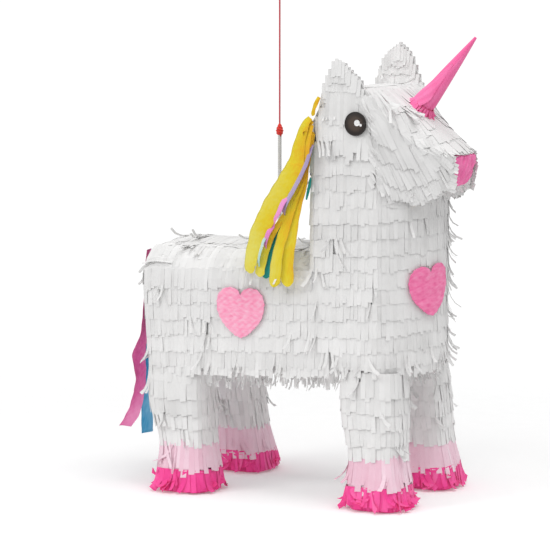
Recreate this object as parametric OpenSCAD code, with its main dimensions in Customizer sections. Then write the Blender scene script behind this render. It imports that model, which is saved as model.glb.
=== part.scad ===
// Unicorn pinata: a closed cardboard animal covered with rows of crepe paper fringe.
// +X is forward (the head), +Y is the animal's left, +Z is up, and the floor is Z = 0.

/* [Body] */
// Half of the cardboard body's width
half_w = 84; // [80:1:90]
// Thickness of the cardboard
card_t = 3; // [2:0.5:3]
// Thickness of the fringe that covers the cardboard
fringe_t = 6; // [5:0.5:6]
// Front edge of the flat side panels
side_front_x = 137; // [134:1:140]
// Rear edge of the body, just under its back
rump_x = -172; // [-174:1:-168]
// Height of the belly at its rear end
belly_rear_z = 143; // [138:1:146]
// Height of the belly at its front end
belly_front_z = 158; // [152:1:162]
// Height where a flat side turns into the arched back
crease_z = 274; // [268:1:278]
// How far the back arches up above that line
arch_rise = 26; // [24:1:30]
// How far the chest bulges forward of the side panels
chest_bulge = 40; // [30:1:42]

/* [Neck and head] */
// Rear face of the neck
neck_x = 58; // [54:1:62]
// Top of the head
crown_z = 490; // [488:1:492]
// Front of the muzzle at its top edge
nose_x = 209; // [204:1:210]
// Half of the muzzle's width at the nose
nose_half_w = 30; // [26:1:31]
// Length of the horn
horn_len = 111; // [100:1:112]
// Radius of the horn's base
horn_r = 13; // [12:0.5:15]
// Radius of an eye
eye_r = 14; // [12:0.5:14]
// Width of a heart
heart_w = 63; // [50:1:66]

/* [Legs] */
// Front feet, distance forward of the origin
front_foot_x = 138; // [134:1:140]
// Rear feet, distance behind the origin
rear_foot_x = 116; // [112:1:118]
// Feet, distance to either side of the middle
foot_y = 75; // [72:1:76]
// Half length of a cardboard leg, front to back
leg_half_x = 26; // [24:1:28]
// Half width of a cardboard leg, side to side
leg_half_y = 25; // [23:1:26]
// Height of the pink hoof
hoof_h = 27; // [22:1:32]
// Height of the pale pink band above the hoof
ankle_h = 17; // [12:1:20]

/* [Hanging cord and fill flap] */
// Where the cord leaves the back
cord_x = -32; // [-40:1:-20]
// Thickness of the white cord
cord_d = 3; // [2:0.5:3]
// Thickness of the red string
string_d = 2; // [1:0.5:2]
// Height of the small knot that closes the red string's end loop
loop_knot_z = 598; // [596:1:620]
// Length of the fill flap along the back
flap_len = 64; // [50:1:70]
// Width of the fill flap
flap_w = 66; // [50:1:70]

/* [Hidden] */

skin_w = half_w + fringe_t;      // half width of the fringed body
arch_r = (half_w * half_w + arch_rise * arch_rise) / (2 * arch_rise);
arch_z = crease_z + arch_rise - arch_r;
chest_r = (half_w * half_w + chest_bulge * chest_bulge) / (2 * chest_bulge);
chest_x = side_front_x + chest_bulge - chest_r;
rump_r = 22;                     // rounding of the back's rear corner
rump_foot_x = rump_x + 10;       // rear end of the belly: the rump leans back as it rises
belly_tilt = atan((belly_front_z - belly_rear_z) / (side_front_x - rump_foot_x));
far = 400;                       // longer than any part of the animal

crest_z = 452;                   // top of the neck's rear face
brow_x = 121;                    // front of the head's flat top
brow_z = crown_z - 2;
crown_x = 76;                    // rear of the head's flat top
throat_z = 374;                  // lower front corner of a side panel
chin_start = 0.2;                // where the chin's board starts along the muzzle
chin_end_x = nose_x - 7;         // the nose's lower edge
nose_top_z = 412;
nose_bottom_z = 376;
chin_drop = 14;                  // how far the chin bows down
head_rows = 10;                  // stations along the muzzle
head_cols = 8;                   // stations across it

eye_x = 112;
eye_z = 450;
horn_base = [152.5, 0, 462.6];
horn_tilt = 39.3;                // from the vertical
heart_x = -38;
heart_z = 224;
chest_heart_y = -25;
chest_heart_z = 256;

leg_lean = 4;                    // feet stand forward of the hips
leg_splay = 6;                   // and outward of them
leg_wall = 2.5;
sole_t = 3;

flap_x = -98;                    // middle of the fill flap
flap_gap = 1;
cord_knot_z = 432;
anchor_r = 4;
anchor_z = crease_z + arch_rise - card_t - anchor_r - 0.5;

cover_gap = 1.2;                 // between the muzzle's twisted board and its fringe
muzzle_first = 0.015;            // the muzzle's boards stop short of the side panels
muzzle_last = 0.985;             // and of the nose board

ribbon_t = 1.2;
mane_w = 24;
tail_w = 22;
mane_back = [[62, -95.4, 455], [46, -104, 425], [22, -108, 385], [2, -108, 340], [-14, -106, 276]];
mane_mid = [[64, -95.4, 455], [52, -104, 410], [36, -108, 350], [24, -108, 300], [13, -106, 258]];
mane_front = [[66, -95.4, 455], [62, -104, 415], [54, -107, 370], [44, -107, 320], [29, -105, 260]];
mane_under = [[60, -94, 452], [40, -100, 410], [22, -102, 350], [8, -102, 300], [-2, -101, 268]];
mane_short_a = [[61, -92.6, 450], [50, -96.5, 420], [40, -97, 385], [28, -97, 336]];
mane_short_b = [[66, -91.2, 448], [62, -94.5, 420], [60, -95, 390], [56, -95, 356]];
tail_outer = [[-182, -59, 284], [-184, -59, 232], [-186, -59, 180], [-197, -59, 154],
    [-193, -59, 128], [-202, -59, 98], [-216, -59, 66]];
tail_inner = [[-182, -34, 282], [-185, -35, 230], [-190, -35, 170], [-197, -34, 110],
    [-200, -33, 56]];

// ---- helpers ----

function mix(a, b, t) = a + (b - a) * t;

// A closed solid between two grids of points, where top lies on the outer side
module sheet_solid(top, bottom) {
    rows = len(top) - 1;
    cols = len(top[0]) - 1;
    half = (rows + 1) * (cols + 1);
    function at(i, j) = i * (cols + 1) + j;
    points = concat([for (row = top) for (p = row) p], [for (row = bottom) for (p = row) p]);
    upper = [for (i = [0 : rows - 1]) for (j = [0 : cols - 1]) for (f = [
        [at(i, j), at(i, j + 1), at(i + 1, j + 1)],
        [at(i, j), at(i + 1, j + 1), at(i + 1, j)]]) f];
    lower = [for (f = upper) [f[2] + half, f[1] + half, f[0] + half]];
    sides = [for (i = [0 : rows - 1]) for (f = [
        [at(i, 0), at(i + 1, 0), at(i + 1, 0) + half],
        [at(i, 0), at(i + 1, 0) + half, at(i, 0) + half],
        [at(i + 1, cols), at(i, cols), at(i, cols) + half],
        [at(i + 1, cols), at(i, cols) + half, at(i + 1, cols) + half]]) f];
    ends = [for (j = [0 : cols - 1]) for (f = [
        [at(0, j + 1), at(0, j), at(0, j) + half],
        [at(0, j + 1), at(0, j) + half, at(0, j + 1) + half],
        [at(rows, j), at(rows, j + 1), at(rows, j + 1) + half],
        [at(rows, j), at(rows, j + 1) + half, at(rows, j) + half]]) f];
    polyhedron(points = points, faces = concat(upper, lower, sides, ends));
}

// A round tube along a route of points, all of it near the plane X = constant
module cord_tube(route, r, sides = 8) {
    n = len(route);
    function ahead(i) = route[min(i + 1, n - 1)] - route[max(i - 1, 0)];
    rings = [for (i = [0 : n - 1]) let (d = ahead(i) / norm(ahead(i)), side = [1, 0, 0],
        up = cross(d, side)) [for (k = [0 : sides - 1])
        route[i] + r * (cos(360 * k / sides) * side + sin(360 * k / sides) * up)]];
    walls = [for (i = [0 : n - 2]) for (k = [0 : sides - 1]) let (m = (k + 1) % sides) for (f = [
        [i * sides + k, i * sides + m, (i + 1) * sides + m],
        [i * sides + k, (i + 1) * sides + m, (i + 1) * sides + k]]) f];
    caps = [[for (k = [sides - 1 : -1 : 0]) k], [for (k = [0 : sides - 1]) (n - 1) * sides + k]];
    polyhedron(points = [for (ring = rings) for (p = ring) p], faces = concat(walls, caps));
}

// A flat ribbon that hangs along a route, its width running along X or Y
module ribbon(route, w, across, out) {
    sheet_solid(
        [for (p = route) [p - across * w / 2 + out * ribbon_t, p + across * w / 2 + out * ribbon_t]],
        [for (p = route) [p - across * w / 2, p + across * w / 2]]);
}

module rounded_box_2d(hx, hy, r) {
    square([2 * hx, 2 * (hy - r)], center = true);
    square([2 * (hx - r), 2 * hy], center = true);
    for (sx = [-1, 1]) for (sy = [-1, 1])
        translate([sx * (hx - r), sy * (hy - r)]) circle(r, $fn = 48);
}

module heart_2d(w) {
    a = w / (1 + sqrt(0.5));
    rotate(45) square(a, center = true);
    for (s = [-1, 1]) translate([s * a * sqrt(0.125), a * sqrt(0.125)]) circle(a / 2, $fn = 64);
}

// Extrudes an outline drawn in X and Z from y0 to y1
module across_body(y0, y1) {
    translate([0, y1, 0]) rotate([90, 0, 0]) linear_extrude(y1 - y0) children();
}

// ---- cardboard body ----

// The body's cross-section in Y and Z: flat sides under an arched back, grown by g
module section_2d(g) {
    translate([-half_w - g, 0]) square([2 * (half_w + g), crease_z]);
    intersection() {
        translate([0, arch_z]) circle(arch_r + g, $fn = 144);
        translate([-half_w - g, crease_z]) square([2 * (half_w + g), 2 * arch_rise]);
    }
}

// The body from rump to neck as a block with a rounded rear corner, grown by g
module body_block(g) {
    top = crease_z + arch_rise + g;
    rear = rump_x - g;
    intersection() {
        translate([rear, 0, 0]) rotate([90, 0, 90]) linear_extrude(neck_x - rear) section_2d(g);
        across_body(-far, far) union() {
            translate([rear, 0]) square([neck_x - rear, top - rump_r - g]);
            translate([rear + rump_r + g, 0]) square([neck_x - rear - rump_r - g, top]);
            translate([rear + rump_r + g, top - rump_r - g]) circle(rump_r + g, $fn = 96);
        }
    }
}

// The arched back between two growths of the body block
module back_shell(g_in, g_out) {
    difference() {
        body_block(g_out);
        body_block(g_in);
        translate([-far, -far, 0]) cube([2 * far, 2 * far, crease_z]);
        translate([neck_x - max(g_out, 0), -far, 0]) cube([far, 2 * far, far]);
    }
}

module flap_prism(gap) {
    translate([flap_x - flap_len / 2 - gap, -flap_w / 2 - gap, crease_z + 5])
        cube([flap_len + 2 * gap, flap_w + 2 * gap, 2 * arch_rise]);
}

module side_outline(trim = 0) {
    polygon([
        [rump_foot_x - trim, belly_rear_z], [side_front_x, belly_front_z], [side_front_x, throat_z],
        [brow_x, brow_z], [crown_x, crown_z], [neck_x - trim, crest_z],
        [neck_x - trim, crease_z], [rump_x - trim, crease_z]
    ]);
}

module side_panel(side) {
    color("tan") across_body(side > 0 ? half_w - card_t : -half_w, side > 0 ? half_w : card_t - half_w)
        side_outline();
}

module back_panel() {
    color("tan") difference() {
        back_shell(-card_t, 0);
        flap_prism(flap_gap);
        translate([cord_x, 0, crease_z]) cylinder(h = far, r = 7.5, $fn = 48);
    }
}

module rump_outline(g_in, g_out) {
    polygon([[rump_foot_x - g_out, belly_rear_z + 0.3], [rump_foot_x - g_in, belly_rear_z + 0.3],
        [rump_x - g_in, crease_z], [rump_x - g_out, crease_z]]);
}

module rump_panel() {
    color("tan") across_body(card_t - half_w, half_w - card_t) rump_outline(-card_t, 0);
}

// The plan of the belly inside the side panels and the curved chest
module belly_plan_2d() {
    inner = half_w - card_t;
    translate([rump_x, -inner]) square([side_front_x - rump_x, 2 * inner]);
    intersection() {
        translate([chest_x, 0]) circle(chest_r - card_t, $fn = 128);
        translate([side_front_x - 1, -inner]) square([far, 2 * inner]);
    }
}

// Everything above (side 1) or below (side -1) the belly's sloping underside
module belly_half_space(side) {
    translate([rump_foot_x, 0, belly_rear_z]) rotate([0, -belly_tilt, 0])
        translate([-far, -far, side > 0 ? 0 : -far]) cube([3 * far, 2 * far, far]);
}

module belly_panel() {
    color("tan") intersection() {
        linear_extrude(far) belly_plan_2d();
        translate([rump_foot_x, 0, belly_rear_z]) rotate([0, -belly_tilt, 0])
            translate([card_t + 0.2, -far, 0]) cube([far, 2 * far, card_t]);
    }
}

// The chest's curved wall between two growths, under the overhanging muzzle
module chest_wall(g_in, g_out) {
    intersection() {
        linear_extrude(far) difference() {
            translate([chest_x, 0]) circle(chest_r + g_out, $fn = 144);
            translate([chest_x, 0]) circle(chest_r + g_in, $fn = 144);
        }
        across_body(-half_w - max(g_out, 0), half_w + max(g_out, 0)) polygon([
            [side_front_x, belly_front_z], [side_front_x + 60, belly_front_z + 3],
            [side_front_x + 60, 343], [side_front_x, 359]]);
    }
}

module chest_panel() {
    color("tan") chest_wall(-card_t, 0);
}

module crest_panel() {
    color("tan") translate([neck_x, card_t - half_w, crease_z])
        cube([card_t, 2 * (half_w - card_t), crest_z - crease_z]);
}

module crown_panel() {
    color("tan") across_body(card_t - half_w, half_w - card_t) polygon([
        [neck_x, crest_z], [crown_x, crown_z], [brow_x, brow_z],
        [brow_x, brow_z - card_t], [crown_x + 2, crown_z - card_t], [neck_x + card_t, crest_z]
    ]);
}

// ---- muzzle ----

// s runs from the brow to the nose
function muzzle_half_w(s) = mix(half_w, nose_half_w, s);
function muzzle_edge_z(s) = nose_top_z + (brow_z - nose_top_z) * (1 - s) * (1 - s);
function muzzle_ridge_z(s) = mix(brow_z, nose_top_z + 3, s);
function muzzle_jaw_z(s) = mix(throat_z, nose_bottom_z, s) - chin_drop * sin(180 * pow(s, 1.4));
function forehead_point(s, t, lift, grow) = [
    mix(brow_x, nose_x, s),
    (muzzle_half_w(s) + grow) * t,
    mix(muzzle_ridge_z(s), muzzle_edge_z(s), pow(t, 4)) + lift
];
// t runs from the jaw to the forehead's edge, and out moves the point away from the middle
function cheek_point(s, t, out, side, low) = [
    mix(mix(side_front_x, brow_x, t), mix(chin_end_x, nose_x, t), s),
    side * (mix(half_w, mix(nose_half_w + 1, nose_half_w, t), s) + out),
    mix(muzzle_jaw_z(s) - low, muzzle_edge_z(s) - (low > 0 ? 0 : card_t), t)
];
function chin_point(s, t, z) = [
    mix(side_front_x, chin_end_x, s),
    (mix(half_w, nose_half_w + 1, s) - (z > 0 ? card_t + 0.2 : 0)) * t,
    muzzle_jaw_z(s) + z
];
function stations(n, first = 0, last = 1) = [for (i = [0 : n]) mix(first, last, i / n)];

module forehead_sheet(low, high, grow) {
    across = [for (j = [0 : head_cols]) 2 * j / head_cols - 1];
    sheet_solid(
        [for (s = stations(head_rows)) [for (t = across) forehead_point(s, t, high, grow)]],
        [for (s = stations(head_rows)) [for (t = across) forehead_point(s, t, low, grow)]]);
}

module forehead_panel() {
    color("tan") forehead_sheet(-card_t, 0, 0);
}

module cheek_sheet(side, inner, outer, low) {
    order = side > 0 ? [1, 0] : [0, 1];
    rows = stations(head_rows, muzzle_first, muzzle_last);
    sheet_solid(
        [for (s = rows) [for (t = order) cheek_point(s, t, outer, side, low)]],
        [for (s = rows) [for (t = order) cheek_point(s, t, inner, side, low)]]);
}

module cheek_panel(side) {
    color("tan") cheek_sheet(side, -card_t, 0, 0);
}

module chin_sheet(low, high) {
    rows = stations(head_rows, chin_start);
    sheet_solid(
        [for (s = rows) [for (t = [-1, 1]) chin_point(s, t, high)]],
        [for (s = rows) [for (t = [-1, 1]) chin_point(s, t, low)]]);
}

module chin_panel() {
    color("tan") sheet_solid(
        [for (s = stations(head_rows, chin_start)) [for (t = [-1, 1])
            chin_point(s, t, card_t)]],
        [for (s = stations(head_rows, chin_start)) [for (t = [-1, 1])
            chin_point(s, t, card_t) - [0, 0, card_t]]]);
}

function nose_row(z_up, grow, x) = let (t = z_up) [for (side = [-1, 1]) [
    mix(chin_end_x, nose_x, t) + x,
    side * (nose_half_w + mix(1, 0, t) + grow),
    mix(nose_bottom_z - grow, nose_top_z + grow, t)]];

module nose_sheet(x0, x1, grow) {
    sheet_solid([nose_row(1, grow, x1), nose_row(0, grow, x1)],
        [nose_row(1, grow, x0), nose_row(0, grow, x0)]);
}

module nose_board() {
    color("tan") nose_sheet(0.3, card_t, 0);
}

module nose_cover() {
    color("hotpink") nose_sheet(card_t + 0.8, card_t + 2.6, 3);
}

// ---- legs ----

// A leaning prism under the belly, for end 1 (front) or -1 (rear), between two heights
module leg_prism(end, side, hx, hy, r, z0, z1) {
    intersection() {
        translate([end > 0 ? front_foot_x : -rear_foot_x, side * foot_y, 0])
            rotate([side * leg_splay, -leg_lean, 0]) translate([0, 0, -40])
            linear_extrude(far) rounded_box_2d(hx, hy, r);
        translate([-far, -far, z0]) cube([2 * far, 2 * far, z1 - z0]);
        belly_half_space(-1);
    }
}

module leg_sleeve(end, side, grow, wall, z0, z1) {
    difference() {
        leg_prism(end, side, leg_half_x + grow, leg_half_y + grow, 12 + grow, z0, z1);
        leg_prism(end, side, leg_half_x + grow - wall, leg_half_y + grow - wall,
            12 + grow - wall, z0 - 1, z1 + 1);
    }
}

module leg_tube(end, side) {
    color("tan") difference() {
        leg_prism(end, side, leg_half_x, leg_half_y, 12, sole_t, far);
        translate([0, 0, -sole_t]) leg_hollow(end, side);
    }
}

module leg_hollow(end, side) {
    translate([end > 0 ? front_foot_x : -rear_foot_x, side * foot_y, 0])
        rotate([side * leg_splay, -leg_lean, 0]) translate([0, 0, -40])
        linear_extrude(far) rounded_box_2d(leg_half_x - leg_wall, leg_half_y - leg_wall, 9.5);
}

module sole(end, side) {
    color("tan") leg_prism(end, side, leg_half_x, leg_half_y, 12, 0, sole_t);
}

module leg_fringe(end, side) {
    color("white") difference() {
        leg_prism(end, side, leg_half_x + fringe_t, leg_half_y + fringe_t, 16, hoof_h + ankle_h, far);
        leg_core(end, side);
    }
}

module leg_core(end, side) {
    translate([end > 0 ? front_foot_x : -rear_foot_x, side * foot_y, 0])
        rotate([side * leg_splay, -leg_lean, 0]) translate([0, 0, -40])
        linear_extrude(far) rounded_box_2d(leg_half_x, leg_half_y, 12);
}

module ankle_ruffles() {
    color("pink") for (end = [-1, 1]) for (side = [-1, 1]) difference() {
        leg_prism(end, side, leg_half_x + fringe_t + 1, leg_half_y + fringe_t + 1, 17,
            hoof_h, hoof_h + ankle_h);
        leg_core(end, side);
    }
}

module hoof(end, side) {
    color("deeppink") difference() {
        leg_prism(end, side, leg_half_x + fringe_t + 3, leg_half_y + fringe_t + 3, 19, 0, hoof_h);
        leg_core(end, side);
    }
}

// ---- ears, horn and face ----

// Outlines of the near (right) and the taller far (left) ear, in X and Z
ear_right_points = [[neck_x, crest_z], [66, 488], [75, 509], [84, 524], [94, 519], [104, 510],
    [114, 500], [brow_x, brow_z], [crown_x, crown_z]];
ear_left_points = [[neck_x, crest_z], [59, 494], [63, 506], [69, 521], [78, 531], [90, 539],
    [101, 531], [108, 522], [112, 507], [brow_x, brow_z], [crown_x, crown_z]];
function ear_points(side) = side > 0 ? ear_left_points : ear_right_points;

module ear(side) {
    color("tan") across_body(side > 0 ? half_w - card_t : -half_w, side > 0 ? half_w : card_t - half_w)
        polygon(ear_points(side));
}

module ear_fringe() {
    color("white") for (y = [-skin_w, card_t - half_w, half_w - card_t - fringe_t, half_w])
        across_body(y, y + fringe_t) polygon(ear_points(y > 0 ? 1 : -1));
}

module on_forehead() {
    translate(horn_base) rotate([0, horn_tilt, 0]) children();
}

module horn_cone() {
    color("hotpink") on_forehead() difference() {
        cylinder(h = horn_len, r1 = horn_r, r2 = 1.6, $fn = 64);
        translate([0, 0, -1]) cylinder(h = horn_len - 20, r1 = horn_r - 1.4, r2 = 1.2, $fn = 64);
    }
}

module horn_ruffle() {
    color("hotpink") on_forehead() difference() {
        translate([0, 0, 7]) cylinder(h = 8, r1 = 18, r2 = 15, $fn = 64);
        translate([0, 0, 0.3]) cylinder(h = horn_len, r1 = horn_r + 0.1, r2 = 1.7, $fn = 64);
    }
}

module eye(side) {
    color("#2e1a14") translate([eye_x, side > 0 ? skin_w + 1.2 : -skin_w, eye_z])
        rotate([90, 0, 0]) cylinder(h = 1.2, r = eye_r, $fn = 64);
}

module side_heart(side) {
    color("lightpink") translate([heart_x, 0, heart_z])
        across_body(side > 0 ? skin_w : -skin_w - 1, side > 0 ? skin_w + 1 : -skin_w)
        heart_2d(heart_w);
}

module heart_chest() {
    color("hotpink") intersection() {
        translate([0, chest_heart_y, chest_heart_z]) rotate([90, 0, 90])
            linear_extrude(far) heart_2d(heart_w);
        linear_extrude(far) difference() {
            translate([chest_x, 0]) circle(chest_r + fringe_t + 1, $fn = 144);
            translate([chest_x, 0]) circle(chest_r + fringe_t, $fn = 144);
        }
    }
}

// ---- fringe on the body and head ----

module side_fringe(side) {
    color("white") across_body(side > 0 ? half_w : -skin_w, side > 0 ? skin_w : -half_w)
        side_outline();
}

module back_fringe() {
    color("white") difference() {
        back_shell(0, fringe_t);
        flap_prism(flap_gap);
        translate([cord_x, 0, crease_z]) cylinder(h = far, r = 7.5, $fn = 48);
        for (side = [-1, 1]) side_fringe(side);
    }
}

module rump_fringe() {
    color("white") across_body(-skin_w, skin_w) rump_outline(0, fringe_t);
}

module chest_fringe() {
    color("white") chest_wall(0, fringe_t);
}

module crest_fringe() {
    color("white") translate([neck_x - fringe_t, -skin_w, crease_z]) difference() {
        cube([fringe_t, 2 * skin_w, crest_z - crease_z]);
        translate([-neck_x + fringe_t, skin_w, -crease_z]) body_block(fringe_t + 0.1);
    }
}

module head_fringe() {
    inner = half_w - card_t - fringe_t - 0.2;
    color("white") {
        difference() {
            forehead_sheet(0.05, fringe_t, fringe_t);
            on_forehead() translate([0, 0, -10]) cylinder(h = 40, r = horn_r + 0.4, $fn = 48);
        }
        for (side = [-1, 1]) cheek_sheet(side, cover_gap, fringe_t, fringe_t);
        across_body(-inner, inner) polygon([
            [neck_x, crest_z], [crown_x, crown_z], [brow_x, brow_z],
            [brow_x, brow_z + fringe_t], [crown_x - 4, crown_z + fringe_t],
            [neck_x - fringe_t, crest_z]]);
    }
}

// ---- mane and tail ----

module mane_yellow() {
    color("gold") for (route = [mane_back, mane_mid, mane_front])
        ribbon(route, mane_w, [1, 0, 0], [0, -1, 0]);
}

module mane_teal() {
    color("teal") ribbon(mane_under, 14, [1, 0, 0], [0, -1, 0]);
}

module mane_pink() {
    color("violet") ribbon(mane_short_a, 16, [1, 0, 0], [0, -1, 0]);
}

module mane_lilac() {
    color("plum") ribbon(mane_short_b, 12, [1, 0, 0], [0, -1, 0]);
}

module tail_pink() {
    color("hotpink") ribbon(tail_outer, tail_w, [0.25, 0.97, 0], [-0.97, 0.25, 0]);
}

module tail_blue() {
    color("deepskyblue") ribbon(tail_inner, tail_w, [0.3, 0.95, 0], [-0.95, 0.3, 0]);
}

// ---- fill flap and hanging cord ----

module fill_flap() {
    color("tan") intersection() {
        back_shell(-card_t, 0);
        flap_prism(0);
    }
}

module flap_fringe() {
    color("white") intersection() {
        back_shell(0, fringe_t);
        flap_prism(0);
    }
}

module anchor_stick() {
    color("burlywood") translate([cord_x - 35, 0, anchor_z]) rotate([0, 90, 0])
        cylinder(h = 70, r = anchor_r, $fn = 48);
}

loop_y = 1.8;                    // half the distance between the cord's two strands
round_y = anchor_r + cord_d / 2 + 0.2;
hang_route = [
    [cord_x, -0.4, anchor_z - round_y], [cord_x, -4, anchor_z - 4.6], [cord_x, -round_y, anchor_z],
    [cord_x, -4.6, 304], [cord_x, -2.4, 330], [cord_x, -loop_y, 380], [cord_x, -loop_y, 428],
    [cord_x, -1.4, 433], [cord_x, 0, 435], [cord_x, 1.4, 433], [cord_x, loop_y, 428],
    [cord_x, loop_y, 380], [cord_x, 2.4, 330], [cord_x, 4.6, 304], [cord_x, round_y, anchor_z],
    [cord_x, 4, anchor_z - 4.6], [cord_x, 0.4, anchor_z - round_y]
];
// The red string ends in a small loop, closed by a knot
string_route = [
    [cord_x, 0, cord_knot_z + 10], [cord_x, 0, 520], [cord_x, 0, loop_knot_z - 8],
    [cord_x, -0.8, loop_knot_z], [cord_x, -3, loop_knot_z + 6], [cord_x, -6.5, loop_knot_z + 14],
    [cord_x, -6, loop_knot_z + 21], [cord_x, 0, loop_knot_z + 25], [cord_x, 6, loop_knot_z + 21],
    [cord_x, 6.5, loop_knot_z + 14], [cord_x, 3.2, loop_knot_z + 6], [cord_x, 1.6, loop_knot_z + 1]
];

module hang_cord() {
    color("white") cord_tube(hang_route, cord_d / 2);
}

module cord_knots() {
    color("red") translate([cord_x, 0, cord_knot_z]) {
        sphere(r = 5, $fn = 32);
        cylinder(h = 14, r1 = 4, r2 = 1.4, $fn = 32);
    }
    color("red") translate([cord_x, 0, loop_knot_z]) sphere(r = 3, $fn = 32);
}

module red_string() {
    color("crimson") cord_tube(string_route, string_d / 2);
}

side_panel(-1);  // side_panel_right
side_panel(1);  // side_panel_left
back_panel();
rump_panel();
belly_panel();
chest_panel();
crest_panel();
crown_panel();
forehead_panel();
cheek_panel(-1);  // cheek_panel_right
cheek_panel(1);  // cheek_panel_left
chin_panel();
nose_board();
leg_tube(1, -1);  // leg_tube_front_right
leg_tube(1, 1);  // leg_tube_front_left
leg_tube(-1, -1);  // leg_tube_rear_right
leg_tube(-1, 1);  // leg_tube_rear_left
sole(1, -1);  // sole_front_right
sole(1, 1);  // sole_front_left
sole(-1, -1);  // sole_rear_right
sole(-1, 1);  // sole_rear_left
leg_fringe(1, -1);  // leg_fringe_front_right
leg_fringe(1, 1);  // leg_fringe_front_left
leg_fringe(-1, -1);  // leg_fringe_rear_right
leg_fringe(-1, 1);  // leg_fringe_rear_left
ankle_ruffles();
hoof(1, -1);  // hoof_front_right
hoof(1, 1);  // hoof_front_left
hoof(-1, -1);  // hoof_rear_right
hoof(-1, 1);  // hoof_rear_left
ear(-1);  // ear_right
ear(1);  // ear_left
ear_fringe();
horn_cone();
horn_ruffle();
eye(-1);  // eye_right
eye(1);  // eye_left
nose_cover();
side_heart(-1);  // heart_right
side_heart(1);  // heart_left
heart_chest();
side_fringe(-1);  // side_fringe_right
side_fringe(1);  // side_fringe_left
back_fringe();
rump_fringe();
chest_fringe();
crest_fringe();
head_fringe();
mane_yellow();
mane_pink();
mane_teal();
mane_lilac();
tail_pink();
tail_blue();
fill_flap();
flap_fringe();
anchor_stick();
hang_cord();
cord_knots();
red_string();
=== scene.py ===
"""Looks of the unicorn pinata: crepe fringe, ribbons, horn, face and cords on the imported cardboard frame."""

import math

import bpy
import numpy as np
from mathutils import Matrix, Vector


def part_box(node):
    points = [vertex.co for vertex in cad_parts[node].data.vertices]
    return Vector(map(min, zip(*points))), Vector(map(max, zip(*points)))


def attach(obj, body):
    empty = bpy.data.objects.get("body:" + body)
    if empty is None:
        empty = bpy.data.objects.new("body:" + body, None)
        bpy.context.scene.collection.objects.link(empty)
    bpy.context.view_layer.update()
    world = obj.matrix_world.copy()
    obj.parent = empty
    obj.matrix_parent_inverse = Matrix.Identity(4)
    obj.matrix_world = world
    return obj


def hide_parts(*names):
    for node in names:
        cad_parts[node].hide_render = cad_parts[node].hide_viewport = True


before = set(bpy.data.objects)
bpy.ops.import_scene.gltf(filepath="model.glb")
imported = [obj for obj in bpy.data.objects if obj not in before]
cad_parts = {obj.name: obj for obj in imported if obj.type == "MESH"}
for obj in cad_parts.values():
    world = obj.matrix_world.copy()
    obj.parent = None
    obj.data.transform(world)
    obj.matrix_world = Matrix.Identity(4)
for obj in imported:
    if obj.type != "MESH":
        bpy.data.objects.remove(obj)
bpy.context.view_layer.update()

rng = np.random.default_rng(41)
MM = 0.001

# ---------------------------------------------------------------- sizes, read from the frame

side_low, side_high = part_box("side_panel_right")
chest_low, chest_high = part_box("chest_panel")
crest_low, crest_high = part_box("crest_panel")
brow_low, brow_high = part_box("forehead_panel")
nose_low, nose_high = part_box("nose_board")
HALF_W = -side_low.y
RUMP_X = side_low.x
SIDE_X = side_high.x
CHEST_X = chest_high.x
BELLY_Z = side_low.z
RUMP_FOOT_X = RUMP_X + 10 * MM
BELLY_SLOPE = (chest_low.z - BELLY_Z) / (SIDE_X - RUMP_FOOT_X)
CREASE_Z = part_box("rump_panel")[1].z
BACK_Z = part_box("back_panel")[1].z
NECK_X = crest_low.x
CREST_Z = crest_high.z
BROW_X, NOSE_X = brow_low.x, brow_high.x
BROW_Z, CROWN_Z = brow_high.z, side_high.z
CROWN_X = NECK_X + 18 * MM
THROAT_Z = CROWN_Z - 116 * MM
NOSE_TOP_Z, NOSE_LOW_Z = nose_high.z, nose_low.z
NOSE_LOW_X = NOSE_X - 7 * MM
NOSE_HALF_W = nose_high.y - 1 * MM
SKIN = 6 * MM

ARCH_R = (HALF_W**2 + (BACK_Z - CREASE_Z) ** 2) / (2 * (BACK_Z - CREASE_Z))
ARCH_Z = BACK_Z - ARCH_R
CHEST_R = (HALF_W**2 + (CHEST_X - SIDE_X) ** 2) / (2 * (CHEST_X - SIDE_X))
CHEST_CX = CHEST_X - CHEST_R
RUMP_R = 17 * MM
MUZZLE_L = 112 * MM
CHEEK_L = 103 * MM

PITCH = 19 * MM
STRIP_L = 40 * MM
STRIP_W = 4.6 * MM
RINGS = 6


def mix(a, b, t):
    return a + (b - a) * t


def unit(v):
    return v / np.maximum(np.linalg.norm(v, axis=-1, keepdims=True), 1e-12)


def smooth(t):
    t = np.clip(t, 0, 1)
    return t * t * (3 - 2 * t)


def xyz(x, y, z):
    """Points or vectors from their parts, each an array or one number."""
    return np.stack(np.broadcast_arrays(x, y, z), -1)


def all_facing(u, x, y, z):
    """The same normal at every place in u."""
    return np.broadcast_to(np.array([x, y, z], float), np.shape(u) + (3,))


# ---------------------------------------------------------------- materials

NOISE_ROUGHNESS = 0.55
BLOTCH_SHARE, TINT_SHARE = 0.45, 0.55


def node_material(name):
    material = bpy.data.materials.new(name)
    material.use_nodes = True
    nodes, links = material.node_tree.nodes, material.node_tree.links
    return material, nodes, links, nodes["Principled BSDF"]


def set_inputs(node, values):
    for socket, value in values.items():
        node.inputs[socket].default_value = value


def colour_by(nodes, links, source, stops, target):
    """Drives a colour socket from a value socket, through stops of (position, (r, g, b))."""
    node = nodes.new("ShaderNodeValToRGB")
    elements = node.color_ramp.elements
    while len(elements) < len(stops):
        elements.new(0.5)
    for element, (position, colour) in zip(elements, stops):
        element.position = position
        element.color = (*colour, 1)
    links.new(source, node.inputs["Fac"])
    links.new(node.outputs["Color"], target)


def bump_by(nodes, links, shader, height, strength, distance):
    bump = nodes.new("ShaderNodeBump")
    set_inputs(bump, {"Strength": strength, "Distance": distance})
    links.new(height, bump.inputs["Height"])
    links.new(bump.outputs["Normal"], shader.inputs["Normal"])


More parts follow.
